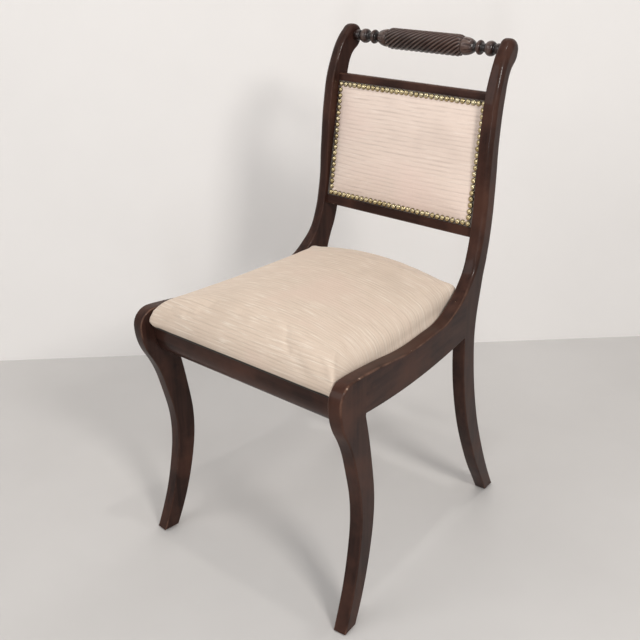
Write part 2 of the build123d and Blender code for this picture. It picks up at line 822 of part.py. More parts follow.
def screw_in(plane, radius, head_radius, extra, mode):
    """A screw, or its hole in a block, from a plane on the block's outer face."""
    with BuildSketch(plane.offset(-screw_grip)) as shank:
        RegularPolygon(radius, peg_sides)
    extrude(shank.sketch, amount=screw_grip + screw_bite + extra, mode=mode)
    with BuildSketch(plane.offset(-screw_grip)) as head:
        RegularPolygon(head_radius, peg_sides)
    extrude(head.sketch, amount=-(screw_head_height if mode == Mode.ADD else block_leg), mode=mode)


corner_screw_planes = front_screws + rear_screws
with BuildPart() as corner_blocks:
    corner_block(front_rail_back, 1)
    corner_block(rear_rail_y, -1)
    for plane in corner_screw_planes:
        bore = screw_radius + hole_fit / 2
        screw_in(plane, bore, screw_head_radius + hole_fit, dowel_end_gap, Mode.SUBTRACT)
    mirror(about=Plane.YZ)
save(corner_blocks, "corner_blocks")

with BuildPart() as corner_screws:
    for plane in corner_screw_planes:
        screw_in(plane, screw_radius, screw_head_radius, 0.0, Mode.ADD)
    mirror(about=Plane.YZ)
save(corner_screws, "corner_screws")

# Dowels of the frame joints
with BuildPart() as frame_dowels:
    pegs(front_dowels + rear_dowels, dowel_radius, dowel_half)
    pegs(
        front_rail_dowels + rear_rail_dowels + top_rail_dowels + bottom_rail_dowels,
        slim_dowel_radius,
        slim_dowel_half,
    )
    mirror(about=Plane.YZ)
save(frame_dowels, "frame_dowels")

# Glides under the feet
with BuildPart() as foot_glides:
    for plane in (front_glide, rear_glide):
        with BuildSketch(plane):
            RegularPolygon(glide_radius, glide_sides)
        extrude(amount=glide_height)
        with BuildSketch(plane.offset(glide_height)):
            RegularPolygon(glide_pin_radius, peg_sides)
        extrude(amount=glide_pin_length)
    mirror(about=Plane.YZ)
save(foot_glides, "foot_glides")
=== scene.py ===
import math

import bmesh
import bpy
import numpy as np
from mathutils import Matrix, Vector


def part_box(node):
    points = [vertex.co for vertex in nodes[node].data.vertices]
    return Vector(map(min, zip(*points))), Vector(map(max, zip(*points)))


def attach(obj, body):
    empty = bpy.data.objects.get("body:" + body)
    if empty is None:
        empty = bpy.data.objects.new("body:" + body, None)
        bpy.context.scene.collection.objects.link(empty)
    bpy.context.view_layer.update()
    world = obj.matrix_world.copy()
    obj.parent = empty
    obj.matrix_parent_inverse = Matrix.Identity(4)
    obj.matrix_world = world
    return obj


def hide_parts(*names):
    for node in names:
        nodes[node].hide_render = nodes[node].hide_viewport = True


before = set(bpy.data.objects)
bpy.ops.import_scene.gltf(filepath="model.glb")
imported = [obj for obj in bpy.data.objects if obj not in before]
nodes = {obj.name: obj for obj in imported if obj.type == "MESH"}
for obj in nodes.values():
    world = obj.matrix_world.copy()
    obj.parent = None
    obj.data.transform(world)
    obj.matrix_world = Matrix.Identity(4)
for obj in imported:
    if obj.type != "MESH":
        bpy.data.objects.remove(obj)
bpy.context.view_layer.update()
scene = bpy.context.scene

# Sizes of the chair in millimetres: the part's own, and the seat's tuck and corners, which are only here
MM = 0.001
SIDE_TURN = math.radians(5.8)
FRAME_THICKNESS = 23.0
FRONT_REACH = 265.5
FRONT_HALF_WIDTH = 224.0
HALF_MIDDLE = FRONT_HALF_WIDTH - FRONT_REACH * math.sin(SIDE_TURN)
SEAT_BASE = 404.3
SEAT_FRONT = -251.1
SEAT_REAR = 118.0
SEAT_GAP = 1.2
SEAT_CROWN = 79.4
CROWN_RADIUS = 580.0
CROWN_SLOPE = math.tan(math.radians(0.6))
FRONT_ROLL = 75.0
SEAT_EDGE = 21.0
SEAT_REAR_EDGE = 13.0
SEAT_RIM = 6.0
SEAT_MEETING = 12.0
SEAT_TUCK = 5.0
FRONT_TUCK = 7.4
FRONT_LIFT = 5.5
BAR_FRONT = -242.8
BAR_TOP = 424.5
CORNER_REACH = 16.0
CORNER_WAYS = [(-4.5, -4.0, 0.0), (4.5, -4.0, 0.0), (4.0, 4.0, 5.0), (-4.0, 4.0, 5.0)]
FLANGE = 27.0
PANEL_MIDDLE = np.array([0.0, 171.9, 653.7])
PANEL_LEAN = math.radians(8.5)
PANEL_UP = np.array([0.0, math.sin(PANEL_LEAN), math.cos(PANEL_LEAN)])
PANEL_OUT = np.array([0.0, -math.cos(PANEL_LEAN), math.sin(PANEL_LEAN)])
NAIL_PITCH = 10.3
NAIL_COLUMNS = 30
NAIL_ROWS = 20
NAIL_RADIUS = 5.0
NAIL_RISE = 3.4
NAIL_HALF_WIDTH = NAIL_PITCH * (NAIL_COLUMNS - 1) / 2
NAIL_HALF_HEIGHT = NAIL_PITCH * (NAIL_ROWS - 1) / 2
PANEL_HALF_HEIGHT = NAIL_HALF_HEIGHT + 5.5

# Shared by the pieces below
ROUND_STEPS = 7
SHARP_ANGLE = math.radians(35)
UP = np.array([0.0, 0.0, 1.0])
rng = np.random.default_rng(7)


def inner_half(y, gap=0.0):
    """Half the clear width between the side frames at a place along Y."""
    return HALF_MIDDLE - y * math.tan(SIDE_TURN) - (FRAME_THICKNESS + gap) / math.cos(SIDE_TURN)


def shade_smooth(obj):
    obj.data.polygons.foreach_set("use_smooth", [True] * len(obj.data.polygons))


def mesh_object(name, points, faces, smooth=True):
    """A new object from points in millimetres."""
    mesh = bpy.data.meshes.new(name)
    places = [tuple(point) for point in np.asarray(points, float) * MM]
    mesh.from_pydata(places, [], [tuple(map(int, face)) for face in faces])
    mesh.validate()
    mesh.update()
    obj = bpy.data.objects.new(name, mesh)
    scene.collection.objects.link(obj)
    if smooth:
        shade_smooth(obj)
    return obj


def grid_faces(rows, columns, offset=0, closed=False):
    """Quads of a grid of rows by columns, closed round its columns if asked."""
    span = columns if closed else columns - 1
    return [
        (
            offset + r * columns + c,
            offset + r * columns + (c + 1) % columns,
            offset + (r + 1) * columns + (c + 1) % columns,
            offset + (r + 1) * columns + c,
        )
        for r in range(rows - 1)
        for c in range(span)
    ]


def tube_faces(rings, count):
    """Faces of a closed tube of rings, with a flat face at each end."""
    last = (rings - 1) * count
    ends = [tuple(range(count - 1, -1, -1)), tuple(range(last, last + count))]
    return grid_faces(rings, count, closed=True) + ends


def closed_sheet(name, front, back, rows, columns):
    """A sheet with two skins of rows by columns, closed round its rim."""
    count = rows * columns
    faces = grid_faces(rows, columns)
    faces += [tuple(count + i for i in reversed(face)) for face in grid_faces(rows, columns)]
    rim = list(range(columns))
    rim += [r * columns + columns - 1 for r in range(1, rows)]
    rim += [(rows - 1) * columns + k for k in range(columns - 2, -1, -1)]
    rim += [r * columns for r in range(rows - 2, 0, -1)]
    faces += [(j, i, count + i, count + j) for i, j in zip(rim, rim[1:] + rim[:1])]
    return mesh_object(name, np.vstack([front, back]), faces)


def face_outward(obj):
    """Turn every face outward, and keep the edges between flat faces sharp."""
    shape = bmesh.new()
    shape.from_mesh(obj.data)
    bmesh.ops.recalc_face_normals(shape, faces=shape.faces)
    shape.to_mesh(obj.data)
    shape.free()
    obj.data.set_sharp_from_angle(angle=SHARP_ANGLE)


def coords_of(obj):
    co = np.zeros(len(obj.data.vertices) * 3, np.float32)
    obj.data.vertices.foreach_get("co", co)
    return co.reshape(-1, 3).astype(float) / MM


def set_coords(obj, points):
    obj.data.vertices.foreach_set("co", (np.asarray(points, float) * MM).astype(np.float32).ravel())
    obj.data.update()


def apply_all(obj):
    """Replace an object's mesh with what its modifiers make of it."""
    graph = bpy.context.evaluated_depsgraph_get()
    mesh = bpy.data.meshes.new_from_object(obj.evaluated_get(graph))
    obj.modifiers.clear()
    obj.data = mesh


def remesh(obj, voxel):
    changer = obj.modifiers.new("even", "REMESH")
    changer.mode = "VOXEL"
    changer.voxel_size = voxel * MM
    changer.use_smooth_shade = True
    apply_all(obj)


def inflate(obj, cap, pinned, pressure, frames):
    """Swell a padded piece with a cloth simulation and keep every point within a cap of where it began."""
    start = coords_of(obj)
    cloth = obj.modifiers.new("swell", "CLOTH")
    settings = cloth.settings
    settings.quality = 6
    settings.mass = 0.3
    settings.tension_stiffness = 18
    settings.compression_stiffness = 18
    settings.shear_stiffness = 6
    settings.bending_stiffness = 0.6
    settings.use_pressure = True
    settings.uniform_pressure_force = pressure
    settings.effector_weights.gravity = 0.0
    cloth.collision_settings.use_collision = False
    group = obj.vertex_groups.new(name="held")
    group.add([int(i) for i in np.nonzero(pinned)[0]], 1.0, "REPLACE")
    settings.vertex_group_mass = group.name
    cloth.point_cache.frame_start = 1
    cloth.point_cache.frame_end = frames
    for step in range(1, frames + 1):
        scene.frame_set(step)
    apply_all(obj)
    scene.frame_set(1)
    moved = coords_of(obj) - start
    length = np.linalg.norm(moved, axis=1, keepdims=True)
    set_coords(obj, start + moved * np.minimum(1.0, cap / np.maximum(length, 1e-6)))


# Materials


def new_material(name):
    material = bpy.data.materials.new(name)
    material.use_nodes = True
    return material, material.node_tree


def fill(tree, made, inputs):
    """Link each input of a node to a socket, or set it to a value."""
    for key, value in inputs.items():
        socket = made.inputs[key]
        if isinstance(value, bpy.types.NodeSocket):
            tree.links.new(value, socket)
        else:
            socket.default_value = value


def painted(material, look):
    """The material, with the inputs of its shader linked or set."""
    tree = material.node_tree
    fill(tree, tree.nodes["Principled BSDF"], look)
    return material


def node(tree, kind, inputs=None, **settings):
    """A shader node with its settings, and its inputs set or linked."""
    made = tree.nodes.new(kind)
    for key, value in settings.items():
        setattr(made, key, value)
    fill(tree, made, inputs or {})
    return made


def ramp(tree, factor, stops, smooth=False):
    made = node(tree, "ShaderNodeValToRGB", {0: factor})
    band = made.color_ramp
    band.interpolation = "EASE" if smooth else "LINEAR"
    while len(band.elements) < len(stops):
        band.elements.new(0.5)
    for element, (place, colour) in zip(band.elements, stops):
        element.position = place
        element.color = (*colour, 1.0)
    return made.outputs[0]


def fade(tree, factor, *stops, smooth=False):
    """A ramp of greys, with each stop a place and a value."""
    return ramp(tree, factor, [(place, (value, value, value)) for place, value in stops], smooth)


def mix(tree, factor, first, second, kind="MIX"):
    """Two colours mixed, each a socket or a plain colour."""
    first, second = [(*value, 1.0) if isinstance(value, tuple) else value for value in (first, second)]
    inputs = {0: factor, 6: first, 7: second}
    return node(tree, "ShaderNodeMix", inputs, data_type="RGBA", blend_type=kind).outputs[2]


def maths(tree, operation, first, second=0.0, clamp=False):
    inputs = {0: first, 1: second}
    return node(tree, "ShaderNodeMath", inputs, operation=operation, use_clamp=clamp).outputs[0]


def times(tree, first, second):
    return maths(tree, "MULTIPLY", first, second)


def plus(tree, first, second):
    return maths(tree, "ADD", first, second)


def object_place(tree):
    return node(tree, "ShaderNodeTexCoord").outputs["Object"]


def attribute(tree, name, output="Fac"):
    return node(tree, "ShaderNodeAttribute", attribute_name=name).outputs[output]


def noise(tree, vector, scale, detail, rough, distortion=0.0):
    """Noise over coordinates, with one scale or a scale for each axis."""
    if isinstance(scale, tuple):
        vector = node(tree, "ShaderNodeVectorMath", {0: vector, 1: scale}, operation="MULTIPLY").outputs[0]
        scale = 1.0
    inputs = {"Vector": vector, "Scale": scale, "Detail": detail}
    inputs |= {"Roughness": rough, "Distortion": distortion}
    return node(tree, "ShaderNodeTexNoise", inputs).outputs["Fac"]


def bump(tree, strength, distance, height, **more):
    """A normal bumped by heights, over another normal if one is given."""
    inputs = {"Strength": strength, "Distance": distance, "Height": height, **more}
    return node(tree, "ShaderNodeBump", inputs).outputs[0]


def stained_wood(
    name, grain, square_edges=False, varnish=0.14, haze=0.06, shine=0.08, worn=(0.165, 0.088, 0.060)
):
    """Very dark brown wood under a worn satin varnish, with its grain along one axis.

    Edge wear comes from the edge_wear attribute of modelled pieces, or from a softened
    normal on the two seat rails, which keep the square edges of their solids. The
    painted_hollow_shade attribute paints shade into grooves and necks, and up-facing
    surfaces get painted light.
    """
    material, tree = new_material(name)
    scale = tuple(4.0 if axis == grain else 80.0 for axis in range(3))
    fine = tuple(5 * value for value in scale)
    plain = object_place(tree)
    streaks = noise(tree, plain, scale, 5.0, 0.62)
    pores = noise(tree, plain, fine, 3.0, 0.6)
    mottle = noise(tree, plain, 11.0, 4.0, 0.6)
    colour = ramp(tree, streaks, [(0.30, (0.017, 0.0078, 0.0060)), (0.70, (0.046, 0.0205, 0.0148))])
    colour = mix(tree, fade(tree, mottle, (0.46, 0.0), (0.68, 0.9)), colour, (0.066, 0.0280, 0.0185))
    normal = node(tree, "ShaderNodeNewGeometry").outputs["Normal"]
    up = node(tree, "ShaderNodeSeparateXYZ", {0: normal}).outputs[2]
    # Painted light from above: surfaces get lighter the more they face up, in streaks that also read as
    # rubbing wear.
    rubbed = fade(tree, streaks, (0.34, 0.15), (0.64, 1.0))
    top = times(tree, fade(tree, up, (0.45, 0.0), (0.97, 0.6)), rubbed)
    colour = mix(tree, top, colour, (0.070, 0.0300, 0.0195))
    patchy = fade(tree, noise(tree, plain, 48.0, 5.0, 0.65), (0.38, 0.15), (0.62, 1.0))
    under = {}
    if square_edges:
        soft = node(tree, "ShaderNodeBevel", {"Radius": 0.0025}, samples=6).outputs[0]
        facing = node(tree, "ShaderNodeVectorMath", {0: soft, 1: normal}, operation="DOT_PRODUCT")
        edge = maths(tree, "MULTIPLY", maths(tree, "SUBTRACT", 1.0, facing.outputs["Value"]), 4.0, True)
        under["Normal"] = soft
    else:
        edge = attribute(tree, "edge_wear")
        # Painted shade: darker in the rope's grooves, the turned necks and the bell's flutes.
        colour = mix(tree, attribute(tree, "painted_hollow_shade"), colour, (0.0075, 0.0038, 0.0032))
    colour = mix(tree, times(tree, times(tree, edge, patchy), 0.8), colour, worn)
    chip = noise(tree, plain, 95.0, 2.0, 0.5)
    chips = times(tree, fade(tree, chip, (0.72, 0.0), (0.75, 1.0)), edge)
    relief = plus(tree, times(tree, streaks, 0.5), times(tree, pores, 0.5))
    look = {
        "Base Color": mix(tree, chips, colour, (0.34, 0.24, 0.18)),
        "Roughness": fade(tree, mottle, (0.25, 0.30), (0.75, 0.46)),
        "Specular IOR Level": shine,
        "Coat Weight": varnish,
        "Coat Roughness": haze,
        "Normal": bump(tree, 0.10, 0.0006, relief, **under),
    }
    return painted(material, look)


def velvet(name, light, mid, shade, blush, rib, slub):
    """Worn cream velvet with fine ribs across the chair, which follow the cloth through an attribute.

    Each rib is a soft ridge beside a thin groove, broken into lengths, with light slubs along it.
    An attribute darkens some edges: black lining under the seat, painted shadow in the gap under its front,
    and painted shade outside the nails.
    """
    material, tree = new_material(name)
    cloth = attribute(tree, "weave", "Vector")
    along = node(tree, "ShaderNodeSeparateXYZ", {0: cloth}).outputs[1]
    waver = noise(tree, cloth, (5.0, 9.0, 1.0), 1.0, 0.5)
    place = plus(tree, maths(tree, "DIVIDE", along, rib), times(tree, waver, 1.3))
    wave = maths(tree, "COSINE", times(tree, place, 2 * math.pi))
    groove = maths(tree, "POWER", plus(tree, times(tree, wave, 0.5), 0.5), 2.5)
    lengths = noise(tree, cloth, (15.0, 0.8 / rib, 1.0), 2.0, 0.6)
    broken = times(tree, groove, fade(tree, lengths, (0.36, 0.05), (0.66, 1.0)))
    dashes = noise(tree, cloth, (21.0, 2.3 / rib, 1.0), 2.0, 0.6)
    slubs = fade(tree, dashes, (slub, 0.0), (slub + 0.18, 0.85))
    pile = noise(tree, cloth, (420.0, 900.0, 420.0), 2.0, 0.6)
    patch = noise(tree, cloth, (5.0, 6.5, 5.0), 3.0, 0.55, 0.3)
    colour = mix(tree, broken, mid, shade)
    colour = mix(tree, slubs, colour, light)
    worn = fade(tree, patch, (0.48, 0.0), (0.68, 0.7), smooth=True)
    colour = mix(tree, worn, colour, blush)
    soiled = fade(tree, patch, (0.30, 0.5), (0.46, 0.0), smooth=True)
    colour = mix(tree, soiled, colour, shade)
    fuzz = fade(tree, pile, (0.3, 0.93), (0.7, 1.0))
    colour = mix(tree, 1.0, colour, fuzz, "MULTIPLY")
    ridges = maths(tree, "SUBTRACT", times(tree, slubs, 0.5), times(tree, groove, 0.5))
    look = {
        # Near-black where the attribute says: lining under the seat, painted shadow in its front gap,
        # painted shade outside the nails.
        "Base Color": mix(tree, attribute(tree, "lining_and_painted_shade"), colour, (0.014, 0.012, 0.011)),
        "Roughness": 0.88,
        "Specular IOR Level": 0.15,
        "Sheen Weight": 0.18,
        "Sheen Roughness": 0.45,
        "Sheen Tint": (1.0, 0.95, 0.88, 1.0),
        "Normal": bump(tree, 0.30, 0.0010, plus(tree, ridges, times(tree, pile, 0.25))),
    }
    return painted(material, look)


def brass(name):
    """Pale gilt nail heads, each a little different, with painted shade round the foot of each dome."""
    material, tree = new_material(name)
    dull = noise(tree, object_place(tree), 260.0, 3.0, 0.6)
    tones = [(0.0, (0.48, 0.38, 0.19)), (0.5, (0.64, 0.53, 0.31)), (1.0, (0.78, 0.69, 0.46))]
    colour = ramp(tree, attribute(tree, "nail_tone"), tones)
    colour = mix(tree, fade(tree, dull, (0.48, 0.0), (0.78, 0.5)), colour, (0.23, 0.175, 0.08))
    # Painted shade round the foot of each dome, where it meets the cloth.
    painted_foot_shade = fade(tree, attribute(tree, "nail_rim"), (0.30, 0.0), (0.95, 0.95))
    look = {
        "Base Color": mix(tree, painted_foot_shade, colour, (0.055, 0.042, 0.018)),
        "Metallic": 1.0,
        "Roughness": fade(tree, dull, (0.3, 0.18), (0.7, 0.36)),
    }
    return painted(material, look)


def sawn_wood(name, grain):
    """Plain hardwood, for the pieces inside the chair."""
    material, tree = new_material(name)
    scale = tuple(7.0 if axis == grain else 110.0 for axis in range(3))
    streaks = noise(tree, object_place(tree), scale, 5.0, 0.6)
    look = {
        "Base Color": ramp(tree, streaks, [(0.3, (0.30, 0.18, 0.09)), (0.7, (0.50, 0.34, 0.20))]),
        "Roughness": fade(tree, streaks, (0.3, 0.62), (0.7, 0.78)),
        "Normal": bump(tree, 0.25, 0.0006, streaks),
    }
    return painted(material, look)


def woven(name, dark, light, pitch):
    """A plain weave of threads, for lining and webbing."""
    material, tree = new_material(name)
    plain = object_place(tree)
    bands = {"Vector": plain, "Scale": 0.314 / pitch, "Distortion": 0.6}
    warp = node(tree, "ShaderNodeTexWave", bands, bands_direction="X")
    weft = node(tree, "ShaderNodeTexWave", bands, bands_direction="Y")
    threads = times(tree, warp.outputs["Fac"], weft.outputs["Fac"])
    uneven = noise(tree, plain, 90.0, 4.0, 0.6)
    look = {
        "Base Color": mix(tree, times(tree, threads, uneven), dark, light),
        "Roughness": 0.9,
        "Normal": bump(tree, 0.4, 0.0005, threads),
    }
    return painted(material, look)


def mottled(name, low, high, rough, metallic=0.0):
    """A plain material with small variation, for screws and glides."""
    material, tree = new_material(name)
    spots = noise(tree, object_place(tree), 180.0, 4.0, 0.6)
    look = {
        "Base Color": ramp(tree, spots, [(0.3, low), (0.7, high)]),
        "Roughness": fade(tree, spots, (0.3, rough), (0.7, rough + 0.15)),
        "Metallic": metallic,
    }
    return painted(material, look)


wood_x = stained_wood("stained_wood_x", 0)
wood_y = stained_wood("stained_wood_y", 1)
wood_z = stained_wood("stained_wood_z", 2)
square_wood = stained_wood("stained_wood_square", 0, square_edges=True)
turned_wood = stained_wood(
    "stained_wood_turned", 0, varnish=0.50, haze=0.16, shine=0.35, worn=(0.19, 0.138, 0.115)
)
seat_velvet = velvet(
    "seat_velvet",
    light=(0.84, 0.745, 0.635),
    mid=(0.705, 0.575, 0.465),
    shade=(0.585, 0.475, 0.38),
    blush=(0.715, 0.56, 0.46),
    rib=0.0064,
    slub=0.53,
)
panel_velvet = velvet(
    "panel_velvet",
    light=(0.87, 0.745, 0.655),
    mid=(0.815, 0.675, 0.585),
    shade=(0.65, 0.535, 0.465),
    blush=(0.84, 0.67, 0.59),
    rib=0.0074,
    slub=0.54,
)
nail_brass = brass("nail_brass")
plain_x = sawn_wood("plain_wood_x", 0)
plain_y = sawn_wood("plain_wood_y", 1)
lining = woven("dust_cloth", (0.012, 0.012, 0.012), (0.05, 0.05, 0.052), 1.2)
jute = woven("webbing", (0.20, 0.14, 0.075), (0.46, 0.35, 0.21), 2.2)
steel = mottled("screw_steel", (0.32, 0.32, 0.33), (0.52, 0.52, 0.53), 0.35, 1.0)
plastic = mottled("glide_plastic", (0.035, 0.032, 0.03), (0.06, 0.055, 0.05), 0.5)

NODE_MATERIALS = {
    square_wood: ["front_rail", "rear_rail"],
    plain_x: ["back_board", "seat_front_bar", "seat_rear_bar", "corner_blocks", "frame_dowels"],
    plain_y: ["right_seat_bar", "left_seat_bar", "right_seat_ledge", "left_seat_ledge", "seat_bar_dowels"],
    steel: ["corner_screws"],
    plastic: ["foot_glides"],
}
for material, names in NODE_MATERIALS.items():
    for name in names:
        if not nodes[name].material_slots:
            nodes[name].data.materials.append(material)
        for entry in nodes[name].material_slots:
            entry.material = material


def dress(obj, material, body, slot, *replaced):
    """Give a new piece its material and body, and hide the nodes that it stands for."""
    obj.data.materials.clear()
    obj.data.materials.append(material)
    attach(obj, body)
    if replaced:
        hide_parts(*replaced)
    return obj


def set_values(obj, name, values):
    """Store a number for each point of a mesh, for its material."""
    stored = obj.data.attributes.new(name, "FLOAT", "POINT")
    stored.data.foreach_set("value", np.asarray(values, np.float32))


def set_weave(obj, across, along):
    """Store the cloth's own coordinates in metres: across the chair, and along the stuff."""
    values = np.zeros((len(obj.data.vertices), 3), np.float32)
    values[:, 0] = np.asarray(across) * MM
    values[:, 1] = np.asarray(along) * MM
    weave = obj.data.attributes.new("weave", "FLOAT_VECTOR", "POINT")
    weave.data.foreach_set("vector", values.ravel())


# Side frames: legs, rails and stiles sawn from one thickness, with edges rounded more outside than inside
FRONT_JOINT = -199.5
REAR_JOINT = 109.5
GLIDE_HEIGHT = 2.5
KNEE_HEIGHT = 439.0
KNEE_RADIUS = 30.0
RAIL_TOP = [(FRONT_JOINT, 437.0), (-25.0, 422.0), (58.0, 430.5), (REAR_JOINT, 460.5)]
RAIL_UNDER = [(REAR_JOINT, 374.0), (-45.0, 364.5), (FRONT_JOINT, 373.0)]
FRONT_LEG = [(0.80, 60.5, 44.0), (0.54, 75.7, 36.5), (0.27, 62.5, 33.0), (0.0, 27.8, 29.5)]
REAR_LEG = [(0.82, 22.8, 39.5), (0.56, 43.5, 39.0), (0.27, 86.5, 35.0), (0.0, 142.0, 28.0)]
REAR_LEG_DEPTH = 38.0
FRONT_TOE = (-0.42, -1.0)
REAR_TOE = (-0.60, 1.0)
CREST_SETBACK = 121.5
CREST_Y = (REAR_JOINT + CREST_SETBACK) * math.cos(SIDE_TURN)
CREST_Z = 830.5
SCROLL_RADIUS = 19.0
SCROLL_ANGLES = (147, 112, 77, 42, 7, -28)
STILE_FRONT = [(0.07, 22.5), (0.157, 35.5), (0.30, 46.5), (0.49, 51.5), (0.69, 58.5), (0.84, 69.0)]
STILE_BACK = [
    (0.90, 112.5), (0.79, 100.0), (0.62, 90.5), (0.43, 88.0), (0.26, 83.0), (0.115, 72.0), (0.0, 55.5),
]
CRISP = 2.2
SOFT = 8.6
SCROLL_SOFT = 2.4
SCROLL_INNER = 4.2
INNER_EDGE = 2.4
FOOT_EDGE = 1.4
FLAT_INSET = 1.2
KNEE_START = -60.0

# Heights between which a rounding or the wear grows or fades
KNEE_RISE = (300, 430)
STILE_RISE = (430, 515)
SCROLL_RISE = (775, 825)
KNEE_WEAR = (385, 402)
KNEE_WEAR_END = (445, 475)
FOOT_WEAR = (6, 26)


def turned(vector, angle):
    """A flat vector turned by an angle."""
    c, s = math.cos(angle), math.sin(angle)
    return np.array([c * vector[0] - s * vector[1], s * vector[0] + c * vector[1]])


def arc_points(start, way, end, step):
    """Points of an arc short of its end, and its direction there, from its start and first direction."""
    chord = end - start
    reach = np.linalg.norm(chord)
    bend = math.atan2(way[0] * chord[1] - way[1] * chord[0], way @ chord)
    count = max(2, math.ceil(reach / step))
    points = []
    for k in range(count):
        share = k / count
        length = reach * (math.sin(bend * share) / math.sin(bend) if abs(bend) > 1e-6 else share)
        points.append(start + turned(way, bend * share) * length)
    return points, turned(way, 2 * bend)


def unit(vector):
    return np.asarray(vector, float) / np.linalg.norm(vector)


def smooth_arcs(points, start=None, end=None, step=4.0):
    """Points along a smooth curve of paired arcs, as the part's outlines are drawn."""
    places = [np.array(point, float) for point in points]
    ways = []
    for before, here, after in zip(places, places[1:], places[2:]):
        back, ahead = here - before, after - here
        ratio = np.linalg.norm(ahead) / np.linalg.norm(back)
        ways.append(unit(back * ratio + ahead / ratio))
    first, last = unit(places[1] - places[0]), unit(places[-1] - places[-2])
    ways.insert(0, unit(start) if start else first * (2 * first @ ways[0]) - ways[0])
    ways.append(unit(end) if end else last * (2 * last @ ways[-1]) - ways[-1])
    found = []
    for here, there, leaving, arriving in zip(places, places[1:], ways, ways[1:]):
        chord = there - here
        lean = chord @ (leaving + arriving)
        bend = 2 * (1 - leaving @ arriving)
        arm = chord @ chord / (lean + math.sqrt(lean**2 + bend * (chord @ chord)))
        meeting = (here + there + (leaving - arriving) * arm) / 2
        some, way = arc_points(here, leaving, meeting, step)
        found += some
        found += arc_points(meeting, way, there, step)[0]
    return found + [places[-1]]


def edge_run(points, outer, inner=INNER_EDGE, joint=False):
    """A stretch of an outline with the rounding of its outer and inner edge. A joint stays square."""
    points = np.asarray(points, float)[:-1]
    outer = outer(points) if callable(outer) else np.full(len(points), outer)
    inner = inner(points) if callable(inner) else np.full(len(points), inner)
    return points, outer, np.minimum(inner, outer + 0.6), np.full(len(points), joint)


def leg_edge(line, start, side, top):
    """Places down one edge of a leg, from shares of its height."""
    rise = top - GLIDE_HEIGHT
    places = []
    for share, setback, depth in line:
        places.append((start + setback + side * depth / 2, GLIDE_HEIGHT + share * rise))
    return places


def eased(values, low, high):
    """A smooth step from 0 at one value to 1 at another."""
    share = np.clip((values - low) / (high - low), 0, 1)
    return share**2 * (3 - 2 * share)


def front_leg_runs():
    knee_top = (KNEE_RADIUS - FRONT_REACH, KNEE_HEIGHT)
    knee_front = (-FRONT_REACH, KNEE_HEIGHT - KNEE_RADIUS)
    top, under = RAIL_TOP[0], RAIL_UNDER[-1]
    slope = (RAIL_TOP[0][0] - RAIL_TOP[1][0], RAIL_TOP[0][1] - RAIL_TOP[1][1])
    front = leg_edge(FRONT_LEG, -FRONT_REACH, -1, under[1])
    back = leg_edge(FRONT_LEG, -FRONT_REACH, 1, under[1])
    knee = smooth_arcs([top, knee_top], start=slope, end=(-1, 0))
    bend, _ = arc_points(np.array(knee_top), np.array([-1.0, 0.0]), np.array(knee_front), 2.5)
    shin = smooth_arcs([knee_front, *front], start=(0, -1), end=FRONT_TOE)
    return [
        edge_run(knee[:-1] + bend + shin, lambda p: CRISP + eased(p[:, 1], *KNEE_RISE)),
        edge_run([front[-1], back[-1]], FOOT_EDGE),
        edge_run(smooth_arcs([*reversed(back), under]), CRISP),
        edge_run([under, top], CRISP, joint=True),
    ]


def stile_edge(height):
    """Rounding of the stile's outer edge, which grows above the side rail."""
    return CRISP + (SOFT - CRISP) * eased(height, *STILE_RISE)


def rail_top_edge(points):
    """Rounding along the top of a side rail, from the knee to the foot of the stile."""
    knee = CRISP + eased(-points[:, 0], KNEE_START, -FRONT_JOINT)
    return np.where(points[:, 0] > 0, stile_edge(points[:, 1]), knee)


def side_rail_runs():
    slope = (RAIL_TOP[1][0] - RAIL_TOP[0][0], RAIL_TOP[1][1] - RAIL_TOP[0][1])
    rear, middle, front = [np.array(place) for place in RAIL_UNDER]
    sag = unit(middle - (rear + front) / 2)
    chord = front - rear
    drop = np.linalg.norm(middle - (rear + front) / 2)
    way = unit(unit(chord) + sag * 4 * drop / np.linalg.norm(chord))
    under = arc_points(rear, way, front, 5.0)[0] + [front]
    return [
        edge_run(smooth_arcs(RAIL_TOP, slope, (1, 1)), rail_top_edge),
        edge_run([RAIL_TOP[-1], RAIL_UNDER[0]], rail_top_edge, joint=True),
        edge_run(under, CRISP),
        edge_run([RAIL_UNDER[-1], RAIL_TOP[0]], CRISP, joint=True),
    ]


def rear_leg_runs():
    sweep, under = RAIL_TOP[-1], RAIL_UNDER[0]
    rise = CREST_Z - sweep[1]
    front, back = [
        [(REAR_JOINT + setback, sweep[1] + share * rise) for share, setback in line]
        for line in (STILE_FRONT, STILE_BACK)
    ]
    middle = np.array([REAR_JOINT + CREST_SETBACK, CREST_Z])
    scroll = [middle + turned((SCROLL_RADIUS, 0.0), math.radians(angle)) for angle in SCROLL_ANGLES]
    leg_front = leg_edge(REAR_LEG, REAR_JOINT, -1, under[1])
    leg_back = leg_edge(REAR_LEG, REAR_JOINT, 1, under[1])
    root = (REAR_JOINT + REAR_LEG_DEPTH, under[1])
    stile = smooth_arcs([sweep, *front, *scroll, *back, root, *leg_back], start=(1, 1))
    shin = smooth_arcs([*reversed(leg_front), under], start=REAR_TOE, end=(0, 1))
    return [
        edge_run(
            stile,
            lambda p: stile_edge(p[:, 1]) + SCROLL_SOFT * eased(p[:, 1], *SCROLL_RISE),
            lambda p: INNER_EDGE + SCROLL_INNER * eased(p[:, 1], *SCROLL_RISE),
        ),
        edge_run([leg_back[-1], leg_front[-1]], FOOT_EDGE),
        edge_run(shin, lambda p: CRISP * eased(under[1] - p[:, 1], 0.0, 14.0)),
        edge_run([under, sweep], 0.0, joint=True),
    ]


def side_point(length, depth, height, side):
    """A point of a side frame: along it, in from its outer face, and up."""
    x = HALF_MIDDLE - length * math.sin(SIDE_TURN) - depth * math.cos(SIDE_TURN)
    y = length * math.cos(SIDE_TURN) - depth * math.sin(SIDE_TURN)
    return np.column_stack([side * x, y, height])


